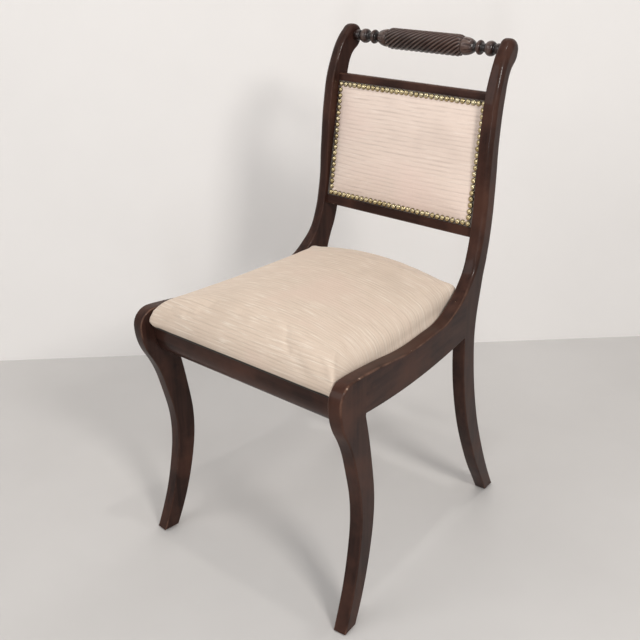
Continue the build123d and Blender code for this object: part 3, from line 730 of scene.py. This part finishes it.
def inset_ways(outline, joints):
    """How each point of an outline moves for an inset of one. At a joint it slides along the joint."""
    ahead = np.roll(outline, -1, axis=0) - outline
    ahead /= np.linalg.norm(ahead, axis=1, keepdims=True)
    area = np.sum(outline[:, 0] * np.roll(outline[:, 1], -1) - np.roll(outline[:, 0], -1) * outline[:, 1])
    normals = np.sign(area) * np.column_stack([-ahead[:, 1], ahead[:, 0]])
    ways = np.zeros_like(outline)
    for i in range(len(outline)):
        if joints[i - 1] or joints[i]:
            along, across = (ahead[i - 1], normals[i]) if joints[i - 1] else (ahead[i], normals[i - 1])
            lean = along @ across
            ways[i] = along / lean if abs(lean) > 0.3 else 0.0
        else:
            ways[i] = (normals[i - 1] + normals[i]) / (1 + normals[i - 1] @ normals[i])
    return ways


def make_plate(name, runs, side):
    """One piece of a side frame, with its edges rounded and worn."""
    outline, outer, inner, joints = [np.concatenate(part) for part in zip(*runs)]
    ways = inset_ways(outline, joints)
    quarter = np.linspace(0, math.pi / 2, ROUND_STEPS)
    bands = [(np.zeros_like(outer), outer + FLAT_INSET, 0.0)]
    bands += [(outer * (1 - math.cos(a)), outer * (1 - math.sin(a)), math.sin(2 * a)) for a in quarter]
    for a in quarter[::-1]:
        depth = FRAME_THICKNESS - inner * (1 - math.cos(a))
        bands.append((depth, inner * (1 - math.sin(a)), math.sin(2 * a)))
    bands.append((np.full_like(inner, FRAME_THICKNESS), inner + FLAT_INSET, 0.0))
    height = outline[:, 1]
    rubbed = 0.15 + 0.85 * eased(height, *KNEE_WEAR) * (1 - eased(height, *KNEE_WEAR_END))
    rubbed += 0.8 * (1 - eased(height, *FOOT_WEAR))
    points, wear = [], []
    for depth, inset, worn in bands:
        flat = outline + ways * inset[:, None]
        points.append(side_point(flat[:, 0], depth, flat[:, 1], side))
        wear.append(worn * rubbed)
    plate = mesh_object(name, np.vstack(points), tube_faces(len(bands), len(outline)))
    face_outward(plate)
    set_values(plate, "edge_wear", np.concatenate(wear))
    return plate


SIDE_PIECES = {
    "front_leg": (front_leg_runs, wood_z),
    "side_rail": (side_rail_runs, wood_y),
    "rear_leg": (rear_leg_runs, wood_z),
}
for side, hand in ((1, "right"), (-1, "left")):
    for kind, (runs, material) in SIDE_PIECES.items():
        plate = make_plate(f"{hand}_{kind}_plate", runs(), side)
        dress(plate, material, "frame", "stained_wood", f"{hand}_{kind}")

# Drop-in seat: a crowned pad with a rolled front, tucked in at its base
SEAT_SHRINK = 0.6
SEAT_CORNERS = [5.0, 5.0, 6.0, 6.0]
OUTLINE_STEP = 3.0
PAD_VOXEL = 4.0
PAD_SWELL = 3.0
PAD_HELD = 3.0
LINING_RECESS = 3.0
SIDE_CLEAR = 0.5
HEEL = 0.8
EDGE_SHARES = [0.0, 0.003, 0.008, 0.016, 0.028, 0.045, 0.065, 0.09]


def rounded_outline(corners, radii, steps=8):
    """Points of a polygon with rounded corners, counted anticlockwise."""
    places = np.array(corners, float)
    points = []
    for i, (here, radius) in enumerate(zip(places, radii)):
        before = unit(places[i - 1] - here)
        after = unit(places[(i + 1) % len(places)] - here)
        half = math.acos(np.clip(before @ after, -1, 1)) / 2
        reach = radius / math.tan(half)
        centre = here + unit(before + after) * radius / math.sin(half)
        start = here + before * reach - centre
        end = here + after * reach - centre
        sweep = math.atan2(start[0] * end[1] - start[1] * end[0], start @ end)
        points += [centre + turned(start, sweep * k / steps) for k in range(steps + 1)]
    return np.array(points)


def even_steps(outline, step):
    """The same closed outline with points at about even steps."""
    closed = np.vstack([outline, outline[:1]])
    lengths = np.concatenate([[0.0], np.cumsum(np.linalg.norm(np.diff(closed, axis=0), axis=1))])
    count = int(lengths[-1] / step)
    places = np.linspace(0, lengths[-1], count, endpoint=False)
    return np.column_stack([np.interp(places, lengths, closed[:, k]) for k in range(2)])


def inside_depth(points, outline):
    """How far each point lies inside an outline."""
    ends = np.roll(outline, -1, axis=0)
    best = np.full(len(points), 1e9)
    for start, end in zip(outline, ends):
        run = end - start
        t = np.clip(((points - start) @ run) / (run @ run), 0, 1)
        best = np.minimum(best, np.linalg.norm(points - (start + t[:, None] * run), axis=1))
    return best


def edge_drop(depth, radius):
    """Fall of a rounded edge at a depth in from it."""
    left = radius - np.clip(depth, 0, radius)
    return radius - np.sqrt(radius**2 - left**2)


def seat_top(x, y):
    """Height of the seat's upper surface: a crown with rounded sides, and a roll at the front."""
    crown = SEAT_BASE + SEAT_CROWN - CROWN_RADIUS + np.sqrt(CROWN_RADIUS**2 - x**2) + y * CROWN_SLOPE
    edge = SEAT_EDGE + (SEAT_REAR_EDGE - SEAT_EDGE) * eased(y, -100.0, SEAT_REAR)
    crown -= edge_drop(inner_half(y, SEAT_GAP) - np.abs(x), edge) + edge_drop(SEAT_REAR - y, SEAT_REAR_EDGE)
    ahead = (SEAT_FRONT + FRONT_ROLL - y) / FRONT_ROLL
    roll = SEAT_BASE + SEAT_CROWN - FRONT_ROLL + FRONT_ROLL * np.sqrt(1 - np.clip(ahead, 0, 1) ** 2)
    roll += 0.5 * FRONT_ROLL * np.clip(-ahead, 0, 10)
    share = np.clip(0.5 + 0.5 * (roll - crown) / SEAT_MEETING, 0, 1)
    return roll * (1 - share) + crown * share - SEAT_MEETING * share * (1 - share)


def seat_rings(outline):
    """Rings of the pad: its base, the rounded tuck above it, and the top in towards the middle."""
    centre = outline.mean(axis=0)
    ahead = eased(-outline[:, 1], -SEAT_FRONT - 30.0, -SEAT_FRONT - 4.0)
    behind = eased(outline[:, 1], SEAT_REAR - 30.0, SEAT_REAR - 4.0)
    tuck = SEAT_TUCK + (FRONT_TUCK - SEAT_TUCK) * ahead
    under = SEAT_BASE + FRONT_LIFT * ahead
    sideways = -np.clip(outline[:, 0] / 150.0, -1, 1) * SEAT_TUCK
    inward = np.column_stack([sideways, FRONT_TUCK * ahead - SEAT_TUCK * behind])
    rings = [np.column_stack([outline + inward, np.full(len(outline), SEAT_BASE)])]
    for angle in np.linspace(0, math.pi / 2, 6):
        flat = outline + inward * (1 - math.sin(angle))
        rings.append(np.column_stack([flat, under + tuck * (1 - math.cos(angle))]))
    for share in 1 - np.concatenate([EDGE_SHARES, np.linspace(0.13, 0.97, 26)]):
        flat = centre + (outline - centre) * share
        rim = edge_drop(inside_depth(flat, outline), SEAT_RIM)
        top = seat_top(flat[:, 0], flat[:, 1]) - SEAT_SHRINK - rim
        rings.append(np.column_stack([flat, np.maximum(top, under + tuck + 1.0)]))
    return rings


def fit_seat(points, corners, outline):
    """Shape the pad's corners, and keep it clear of the frame, its front bar and its lining."""
    x, y, z = points.T
    flat = z < SEAT_BASE + 1.0
    for corner, way in zip(corners, CORNER_WAYS):
        near = np.exp(-(((points[:, :2] - corner) ** 2).sum(axis=1)) / CORNER_REACH**2)
        points += np.where(flat, 0.0, near)[:, None] * np.array(way)
    step = (y < BAR_FRONT + 5.0) & (z < BAR_TOP)
    y[step] = np.minimum(y[step], BAR_FRONT)
    heel = (y > SEAT_REAR - 9.0) & (z < SEAT_BASE + 5.0)
    y[heel] = SEAT_REAR + HEEL
    z[heel & (z < SEAT_BASE + 2.0)] = SEAT_BASE
    y[:] = np.clip(y, SEAT_FRONT - 1.5, SEAT_REAR + HEEL)
    limit = inner_half(y, SIDE_CLEAR)
    x[:] = np.clip(x, -limit, limit)
    z[:] = np.maximum(z, SEAT_BASE)
    z[flat & (inside_depth(points[:, :2], outline) > FLANGE)] = SEAT_BASE + LINING_RECESS
    return points


def weave_seat(pad):
    """Lay the ribs over the rolled front and down the rear, darken the underside as lining, and paint
    shadow into the gap under the front.
    """
    x, y, z = coords_of(pad).T
    middle_y = SEAT_FRONT + FRONT_ROLL
    middle_z = SEAT_BASE + SEAT_CROWN - FRONT_ROLL
    angle = np.arctan2(middle_y - y, np.maximum(z - middle_z, 1e-3))
    front = y < middle_y
    along = np.where(front, middle_y - FRONT_ROLL * angle, y)
    below = middle_y - FRONT_ROLL * math.pi / 2 - (middle_z - z)
    along = np.where(front & (z < middle_z), below, along)
    fall = np.maximum(SEAT_BASE + SEAT_CROWN - 9.0 - z, 0.0)
    set_weave(pad, x, along + fall * eased(y, SEAT_REAR - 14.0, SEAT_REAR - 2.0))
    # Painted shadow: the strip under the front overhang, above the front bar, goes near-black; the flat
    # underside is lining.
    step = (y > SEAT_FRONT + 4.5) & (y < BAR_FRONT + 6.0)
    painted_gap_shadow = eased(SEAT_BASE + FRONT_LIFT - z, 0.0, 1.5)
    set_values(pad, "lining_and_painted_shade", np.where(step, painted_gap_shadow, z < SEAT_BASE + 1.0))


def make_seat_pad():
    front, rear = [inner_half(y, SEAT_GAP) - SEAT_SHRINK for y in (SEAT_FRONT, SEAT_REAR)]
    front_y, rear_y = SEAT_FRONT + SEAT_SHRINK, SEAT_REAR - SEAT_SHRINK
    corners = [(-front, front_y), (front, front_y), (rear, rear_y), (-rear, rear_y)]
    outline = even_steps(rounded_outline(corners, SEAT_CORNERS), OUTLINE_STEP)
    rings = seat_rings(outline)
    pad = mesh_object("seat_pad", np.vstack(rings), tube_faces(len(rings), len(outline)))
    remesh(pad, PAD_VOXEL)
    inflate(pad, PAD_SWELL, coords_of(pad)[:, 2] < SEAT_BASE + PAD_HELD, pressure=4.0, frames=20)
    softer = pad.modifiers.new("soften", "SMOOTH")
    softer.factor = 0.5
    softer.iterations = 2
    apply_all(pad)
    set_coords(pad, fit_seat(coords_of(pad), corners, outline))
    finer = pad.modifiers.new("finer", "SUBSURF")
    finer.levels = 1
    finer.render_levels = 1
    apply_all(pad)
    shade_smooth(pad)
    weave_seat(pad)
    return pad


seat_pad = dress(make_seat_pad(), seat_velvet, "drop_in_seat", "seat_velvet", "seat_cover", "seat_foam")


def sheet_between(name, corners, thickness, sag, columns=24, rows=24):
    """A thin cloth between four corners in one plane, hanging a little in the middle."""
    a, b, c, d = np.array(corners, float)
    s, t = np.meshgrid(np.linspace(0, 1, columns), np.linspace(0, 1, rows))
    s, t = s.reshape(-1, 1), t.reshape(-1, 1)
    flat = (a * (1 - s) + b * s) * (1 - t) + (d * (1 - s) + c * s) * t
    upper = flat - UP * sag * (16 * s * (1 - s) * t * (1 - t)) ** 0.8
    return closed_sheet(name, upper, upper - UP * thickness, rows, columns)


DUST_CLEAR = 0.6
DUST_INSET = FLANGE + SEAT_GAP + DUST_CLEAR
DUST_HEIGHT = SEAT_BASE + 1.5
DUST_THICKNESS = 0.7
DUST_SAG = 5.0
dust_front, dust_rear = SEAT_FRONT + FLANGE + DUST_CLEAR, SEAT_REAR - FLANGE - DUST_CLEAR
front_half, rear_half = inner_half(dust_front, DUST_INSET), inner_half(dust_rear, DUST_INSET)
dust_corners = [
    (-front_half, dust_front, DUST_HEIGHT),
    (front_half, dust_front, DUST_HEIGHT),
    (rear_half, dust_rear, DUST_HEIGHT),
    (-rear_half, dust_rear, DUST_HEIGHT),
]
dust_cloth = sheet_between("seat_lining", dust_corners, DUST_THICKNESS, DUST_SAG)
dress(dust_cloth, lining, "drop_in_seat", "dust_cloth", "seat_dust_cloth")


STRAP_WIDTH = 50.0
STRAP_THICKNESS = 1.1
STRAP_WAVE = 0.7
STRAP_REACH = 24.0
STRAP_INSET = SEAT_GAP + 24.0
STRAP_DROP = 0.6
STRAP_STEPS = 60


def strap(length, place, way, lift, crossings):
    """One strap along X or Y, which passes over and under those that cross it."""
    along, over = np.eye(3)[way], np.eye(3)[1 - way] * STRAP_WIDTH
    points = []
    for s in np.linspace(-length / 2, length / 2, STRAP_STEPS + 1):
        height = lift
        for middle, side in crossings:
            height += side * STRAP_WAVE * math.exp(-(((s - middle) / STRAP_REACH) ** 4))
        for side, up in ((-0.5, 0), (0.5, 0), (0.5, 1), (-0.5, 1)):
            points.append(place + along * s + over * side + UP * (height + up * STRAP_THICKNESS))
    return points, tube_faces(STRAP_STEPS + 1, 4)


def make_straps():
    """Three straps each way, woven through each other."""
    low, high = [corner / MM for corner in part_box("seat_webbing")]
    middle = np.array([0.0, (low.y + high.y) / 2, 0.0])
    run = high.y - low.y
    pitch = [2 * inner_half(high.y, STRAP_INSET) / 3, run / 3]
    lift = (low.z + high.z) / 2 - STRAP_DROP
    points, faces = [], []
    for way, over in ((1, 1), (0, -1)):
        for i in range(3):
            place = middle + np.eye(3)[1 - way] * (i - 1) * pitch[1 - way]
            length = run if way == 1 else 2 * inner_half(place[1] + STRAP_WIDTH / 2, STRAP_INSET)
            crossings = [((j - 1) * pitch[way], over if (i + j) % 2 else -over) for j in range(3)]
            some, quads = strap(length, place, way, lift, crossings)
            faces += [tuple(len(points) + k for k in quad) for quad in quads]
            points += some
    return mesh_object("seat_straps", points, faces, smooth=False)


dress(make_straps(), jute, "drop_in_seat", "webbing", "seat_webbing")

# Upholstered back panel


def on_panel(x, up, out):
    """Points of the leaning back panel, from its own coordinates."""
    x, up, out = np.broadcast_arrays(np.asarray(x, float), np.asarray(up, float), np.asarray(out, float))
    flat = np.column_stack([x.ravel(), np.zeros(x.size), np.zeros(x.size)])
    return PANEL_MIDDLE + flat + up.ravel()[:, None] * PANEL_UP + out.ravel()[:, None] * PANEL_OUT


PANEL_GAP = 0.8
PAD_RISE = 11.5
PAD_RIM = 7.0
PAD_HALF_WIDTH = NAIL_HALF_WIDTH - PAD_RIM + 3.0
PAD_HALF_HEIGHT = NAIL_HALF_HEIGHT - PAD_RIM + 3.0
PAD_SHOULDER = 11.0
PAD_BACK = -1.4
PANEL_SWELL = 2.0
REAR_CLOTH_HALF = 83.5
REAR_CLOTH_INNER = -9.6
REAR_CLOTH_OUTER = -10.4


def nail_pull(place, edge, beside):
    """Small ripples of the cloth just inside a row of nails."""
    return np.exp(-(((np.abs(place) - edge + 5.0) / 6.0) ** 2)) * np.cos(2 * np.pi * beside / NAIL_PITCH)


def panel_rise(x, up):
    """How far the panel's cover stands out: flat under the nails, a quick rise, and a slow crown."""
    across = np.clip((PAD_HALF_WIDTH - np.abs(x)) / PAD_HALF_WIDTH, 0, 1)
    down = np.clip((PAD_HALF_HEIGHT - np.abs(up)) / PAD_HALF_HEIGHT, 0, 1)
    gap_x, gap_y = across * PAD_HALF_WIDTH, down * PAD_HALF_HEIGHT
    edge = (1 - np.exp(-gap_x / PAD_SHOULDER)) * (1 - np.exp(-gap_y / PAD_SHOULDER))
    crown = 0.62 + 0.38 * np.sqrt(np.clip((1 - (1 - across) ** 2) * (1 - (1 - down) ** 2), 0, 1))
    pulls = nail_pull(up, NAIL_HALF_HEIGHT, x) + nail_pull(x, NAIL_HALF_WIDTH, up)
    return PAD_RISE * edge * crown + 0.35 * pulls


def panel_grid(half_up, rows, columns):
    """Places across and up the panel, between the stiles."""
    ups = np.linspace(-half_up, half_up, rows)
    ends = [inner_half(PANEL_MIDDLE[1] + PANEL_UP[1] * up, PANEL_GAP) for up in (-half_up, half_up)]
    halves = np.interp(ups, [-half_up, half_up], ends)
    xs = halves[:, None] * np.linspace(-1, 1, columns)[None, :]
    return xs, np.repeat(ups[:, None], columns, axis=1)


def make_back_pad():
    rows, columns = 83, 121
    xs, ups = panel_grid(PANEL_HALF_HEIGHT, rows, columns)
    front = on_panel(xs, ups, np.maximum(panel_rise(xs, ups), 0.0))
    pad = closed_sheet("back_pad", front, on_panel(xs, ups, PAD_BACK), rows, columns)
    inner = (np.abs(xs) < NAIL_HALF_WIDTH - PAD_RIM) & (np.abs(ups) < NAIL_HALF_HEIGHT - PAD_RIM)
    pinned = np.concatenate([~inner.ravel(), np.ones(inner.size, bool)])
    inflate(pad, PANEL_SWELL, pinned, pressure=2.0, frames=14)
    x, up = np.tile(xs.ravel(), 2), np.tile(ups.ravel(), 2)
    set_weave(pad, x, up)
    # Painted shade on the cloth outside the nails, towards the rails.
    beyond = np.maximum(np.abs(x) - NAIL_HALF_WIDTH, np.abs(up) - NAIL_HALF_HEIGHT)
    set_values(pad, "lining_and_painted_shade", 0.8 * eased(beyond, -2.0, 2.5))
    return pad


back_pad = dress(make_back_pad(), panel_velvet, "frame", "panel_velvet", "back_cover", "back_foam")


def make_rear_cloth():
    """The cloth behind the board, bowed a little, with its flat width and length."""
    rows, columns = 41, 61
    xs, ups = panel_grid(REAR_CLOTH_HALF, rows, columns)
    across = np.linspace(-1, 1, columns)
    bow = 0.6 * np.sqrt(np.clip((1 - across**2) * (1 - (ups / REAR_CLOTH_HALF) ** 2), 0, 1))
    inner = on_panel(xs, ups, REAR_CLOTH_INNER - bow)
    outer = on_panel(xs, ups, REAR_CLOTH_OUTER - bow)
    cloth = closed_sheet("back_rear_velvet", inner, outer, rows, columns)
    set_weave(cloth, np.tile(xs.ravel(), 2), np.tile(ups.ravel(), 2))
    return cloth, 2 * xs.max() * MM, 2 * REAR_CLOTH_HALF * MM


rear_cloth, rear_width, rear_length = make_rear_cloth()
dress(rear_cloth, panel_velvet, "frame", "panel_velvet", "back_rear_cloth")

NAIL_SHIFT = 0.18
NAIL_TILT = 0.07
NAIL_SPREAD = 0.015
NAIL_LIFT = 0.15


def make_nails():
    """A close row of domed nail heads round the panel, each set by hand."""
    xs = [NAIL_PITCH * k - NAIL_HALF_WIDTH for k in range(NAIL_COLUMNS)]
    ups = [NAIL_PITCH * k - NAIL_HALF_HEIGHT for k in range(1, NAIL_ROWS - 1)]
    places = [(x, side * NAIL_HALF_HEIGHT) for side in (-1, 1) for x in xs]
    places += [(side * NAIL_HALF_WIDTH, up) for side in (-1, 1) for up in ups]
    sides, steps = 16, 5
    each = sides * steps + 1
    turns = np.linspace(0, 2 * math.pi, sides, endpoint=False)
    domes = np.linspace(0, math.pi / 2, steps, endpoint=False)[:, None]
    rims = np.append(np.repeat(1 - np.arange(steps) / steps, sides), 0.0)
    points, faces, tones = [], [], []
    for x, up in places:
        shift = rng.normal(0.0, NAIL_SHIFT, 2)
        tilt = rng.normal(0.0, NAIL_TILT, 2)
        size = NAIL_RADIUS * (1 + rng.normal(0.0, NAIL_SPREAD))
        tone = float(np.clip(rng.normal(0.5, 0.25), 0, 1))
        x, up = x + shift[0], up + shift[1]
        dx, dy = size * np.cos(domes) * np.cos(turns), size * np.cos(domes) * np.sin(turns)
        lift = np.maximum(0.05, NAIL_LIFT + NAIL_RISE * np.sin(domes) + tilt[0] * dx + tilt[1] * dy)
        points += [on_panel(x + dx, up + dy, lift), on_panel(x, up, NAIL_LIFT + NAIL_RISE)]
        base = len(tones)
        tones += [tone] * each
        faces += grid_faces(steps, sides, base, closed=True)
        last, tip = base + (steps - 1) * sides, base + steps * sides
        faces += [(last + s, last + (s + 1) % sides, tip) for s in range(sides)]
        faces.append(tuple(base + s for s in range(sides - 1, -1, -1)))
    heads = mesh_object("back_nail_heads", np.vstack(points), faces)
    set_values(heads, "nail_tone", tones)
    set_values(heads, "nail_rim", np.tile(rims, len(places)))
    return heads


dress(make_nails(), nail_brass, "frame", "nail_brass", "back_nails")

# Back rails: rebated for the panel's board, with rounded outer edges
RAIL_PROUD = 0.8
RAIL_BACK = -19.0
RAIL_LIP = NAIL_HALF_HEIGHT + 5.8
RAIL_REBATE = -9.8
RAIL_ROUND = 3.2
RAIL_BITE = 0.2


def make_back_rail(name, way, outer_edge, inner_edge):
    """A back rail between the stiles. Its outer edge faces up or down."""
    top, front, back = outer_edge - RAIL_ROUND, RAIL_PROUD - RAIL_ROUND, RAIL_BACK + RAIL_ROUND
    bends = np.linspace(0, math.pi / 2, ROUND_STEPS)
    turns = [(RAIL_ROUND * math.sin(a), RAIL_ROUND * math.cos(a), math.sin(2 * a)) for a in bends]
    section = [(RAIL_LIP, RAIL_PROUD, 0.0)]
    section += [(top + sine, front + cosine, worn) for sine, cosine, worn in turns]
    section += [(top + cosine, back - sine, worn) for sine, cosine, worn in turns]
    section += [(inner_edge, RAIL_BACK, 0.0), (inner_edge, RAIL_REBATE, 0.0), (RAIL_LIP, RAIL_REBATE, 0.0)]
    ups, outs, worn = np.array(section).T
    line = on_panel(np.zeros(len(ups)), way * ups, outs)
    reach = inner_half(line[:, 1], -RAIL_BITE)
    stations = np.linspace(-1, 1, 9)
    points = [line + np.column_stack([share * reach, 0 * reach, 0 * reach]) for share in stations]
    rail = mesh_object(name, np.vstack(points), tube_faces(len(stations), len(ups)))
    face_outward(rail)
    set_values(rail, "edge_wear", np.tile(worn, len(stations)) * 0.5)
    return rail


top_rail = make_back_rail("back_top_bar", 1, NAIL_HALF_HEIGHT + 19.0, NAIL_HALF_HEIGHT - 14.0)
bottom_rail = make_back_rail("back_bottom_bar", -1, NAIL_HALF_HEIGHT + 22.5, NAIL_HALF_HEIGHT - 10.0)
dress(top_rail, wood_x, "frame", "stained_wood", "back_top_rail")
dress(bottom_rail, wood_x, "frame", "stained_wood", "back_bottom_rail")

# Crest rail: a rope-twisted middle between turned ends
ROPE_HALF = 76.0
ROPE_RADIUS = 18.0
ROPE_REEDS = 15
ROPE_LEAD = 158.0
ROPE_GROOVE = 3.6
NECK = 6.6
BELL_FLUTES = 9
FLUTE_DEPTH = 0.8
ROPE_SHOULDER = 10.0
ROPE_END = 12.5
ROPE_ROUND = 9.0
CREST_TENON = 12.0
BELL_START = 80.2
BELL_LENGTH = 18.8
CREST_SIDES = 192


def reed_height(x, angle):
    """Height across a twisted reed, from 0 in the groove to 1 along its top."""
    turn = angle / (2 * math.pi) + (x + ROPE_HALF) / ROPE_LEAD
    phase = (turn * ROPE_REEDS) % 1.0
    return np.sin(math.pi * phase) ** 0.8


def rope_radius(x, angle):
    """Radius of the twisted reeds at a place along the rail and an angle round it."""
    edge = np.clip((ROPE_HALF - np.abs(x)) / ROPE_ROUND, 0, 1)
    outer = ROPE_END + (ROPE_RADIUS - ROPE_END) * np.sqrt(np.clip(1 - (1 - edge) ** 2, 0, 1))
    return outer - ROPE_GROOVE * (1 - reed_height(x, angle)) * np.clip(edge * 3, 0.15, 1)


def swell(place, half, top, steps=14):
    """A rounded swelling of the turned end, between two necks."""
    turns = [math.pi * k / steps for k in range(steps + 1)]
    return [(place - half * math.cos(a), NECK + (top - NECK) * math.sin(a) ** 0.8) for a in turns]


def ring(x, radius, angles):
    """Points round the rail at a place along it."""
    return np.column_stack([np.full(len(angles), x), radius * np.cos(angles), radius * np.sin(angles)])


def make_crest():
    angles = np.linspace(0, 2 * math.pi, CREST_SIDES, endpoint=False)
    middle = ROPE_HALF - ROPE_SHOULDER
    xs = np.concatenate(
        [
            np.linspace(-ROPE_HALF, -middle, 14, endpoint=False),
            np.linspace(-middle, middle, 110, endpoint=False),
            np.linspace(middle, ROPE_HALF, 15),
        ]
    )
    rows = [ring(x, rope_radius(x, angles), angles) for x in xs]
    heights = [reed_height(x, angles) for x in xs]
    profile = [(ROPE_HALF + 0.2, 12.3), (78.0, 12.5), (78.4, 13.6), (78.9, 14.4), (BELL_START, 14.8)]
    for t in np.linspace(0.08, 0.985, 16):
        profile.append((BELL_START + BELL_LENGTH * t, NECK + 8.2 * math.cos(math.pi / 2 * t) ** 0.62))
    profile += [(101.5, NECK), (103.5, NECK)]
    profile += swell(108.5, 4.0, 12.0)
    profile += [(115.0, NECK + 0.3), (119.0, NECK + 0.6)]
    profile += swell(128.8, 7.4, 12.4)
    profile += [(137.4, NECK)]
    profile += swell(145.0, 6.2, 9.6)[:-2]
    profile += [(inner_half(CREST_Y) + CREST_TENON, NECK + 0.4)]
    rounds, bulges = [], []
    for x, radius in profile:
        share = np.clip((x - BELL_START) / BELL_LENGTH, 0, 1)
        flute = math.sin(math.pi * share) * np.cos(angles * BELL_FLUTES / 2) ** 10
        rounds.append(ring(x, radius - FLUTE_DEPTH * flute, angles))
        bulges.append(np.clip((radius - NECK) / 6.0, 0, 1) - 0.6 * flute)
    left = [row * np.array([-1.0, 1.0, 1.0]) for row in reversed(rounds)]
    every = left + rows + rounds
    points = np.vstack(every) + np.array([0.0, CREST_Y, CREST_Z])
    faces = [tuple(reversed(face)) for face in tube_faces(len(every), CREST_SIDES)]
    crest = mesh_object("crest_twist", points, faces)
    every_height = np.concatenate(bulges[::-1] + heights + bulges)
    # Painted shade in the grooves and necks, darker the lower the surface lies.
    set_values(crest, "painted_hollow_shade", np.clip(1.25 - 1.6 * every_height, 0, 1))
    set_values(crest, "edge_wear", np.clip(every_height - 0.82, 0, 1) * 3.6)
    return crest


dress(make_crest(), turned_wood, "frame", "stained_wood", "crest_rail")

# Room: a pale floor and wall, soft light and the photograph's camera
FAR = 6000.0
WALL_PLACE = 1004.0


def stage_plane(name, points, low, high):
    material, tree = new_material(name)
    patches = noise(tree, object_place(tree), 2.2, 4.0, 0.55)
    look = {
        "Base Color": ramp(tree, patches, [(0.3, low), (0.7, high)]),
        "Roughness": 0.75,
        "Specular IOR Level": 0.2,
    }
    plane = mesh_object(name, points, [(0, 1, 2, 3)], smooth=False)
    plane.data.materials.append(painted(material, look))
    return plane, tree


stage_plane(
    "floor",
    [(-FAR, -FAR, 0), (FAR, -FAR, 0), (FAR, FAR, 0), (-FAR, FAR, 0)],
    (0.60, 0.58, 0.56),
    (0.64, 0.62, 0.60),
)
near_y, far_y = WALL_PLACE - FAR, WALL_PLACE + FAR
wall, wall_tree = stage_plane(
    "wall",
    [(-FAR, near_y, 0), (FAR, far_y, 0), (FAR, far_y, FAR), (-FAR, near_y, FAR)],
    (0.90, 0.875, 0.85),
    (0.93, 0.905, 0.88),
)

# The wall is clear from behind and throws no shadow
wall.visible_shadow = False
behind = node(wall_tree, "ShaderNodeNewGeometry").outputs["Backfacing"]
solid = wall_tree.nodes["Principled BSDF"].outputs[0]
clear = node(wall_tree, "ShaderNodeBsdfTransparent").outputs[0]
choose = node(wall_tree, "ShaderNodeMixShader", {0: behind, 1: solid, 2: clear}).outputs[0]
fill(wall_tree, wall_tree.nodes["Material Output"], {0: choose})


def area_light(name, place, target, size, power, colour):
    lamp = bpy.data.lights.new(name, "AREA")
    lamp.shape = "RECTANGLE"
    lamp.size, lamp.size_y = size
    lamp.energy = power
    lamp.color = colour
    obj = bpy.data.objects.new(name, lamp)
    scene.collection.objects.link(obj)
    obj.location = place
    obj.rotation_mode = "QUATERNION"
    obj.rotation_quaternion = (Vector(target) - Vector(place)).to_track_quat("-Z", "Y")
    return obj


area_light("key", (1.9, -0.75, 1.75), (0.0, 0.0, 0.5), (0.45, 0.45), 25.5, (1.0, 0.97, 0.94))
area_light("fill", (-0.6, -2.2, 1.9), (0.0, 0.0, 0.4), (1.8, 1.4), 18.0, (1.0, 0.98, 0.97))
area_light("back", (-0.9, 1.9, 1.8), (0.0, 0.2, 0.5), (1.4, 1.0), 8.0, (1.0, 1.0, 1.0))
area_light("ceiling", (0.35, -0.15, 2.5), (0.1, 0.0, 0.4), (0.10, 0.10), 4.2, (1.0, 0.98, 0.95))
area_light("strip", (1.25, -1.60, 0.80), (0.15, 0.10, 0.55), (0.10, 0.7), 4.0, (0.95, 0.97, 1.0))

world = bpy.data.worlds.new("room")
scene.world = world
world.use_nodes = True
background = world.node_tree.nodes["Background"]
background.inputs[0].default_value = (0.97, 0.98, 1.0, 1.0)
background.inputs[1].default_value = 0.45

camera = bpy.data.cameras.new("camera")
camera.sensor_width = 36.0
camera.lens = 53.98
viewer = bpy.data.objects.new("camera", camera)
scene.collection.objects.link(viewer)
right = Vector((0.75615873, 0.65433613, -0.00825865))
down = Vector((0.25874451, -0.31055262, -0.91466297))
forward = Vector((-0.60106177, 0.68949351, -0.40413295))
turn = Matrix((right, -down, -forward)).transposed()
viewer.matrix_world = Matrix.Translation((0.9654667, -1.156593, 1.05827)) @ turn.to_4x4()
scene.camera = viewer
scene.view_settings.view_transform = "Standard"
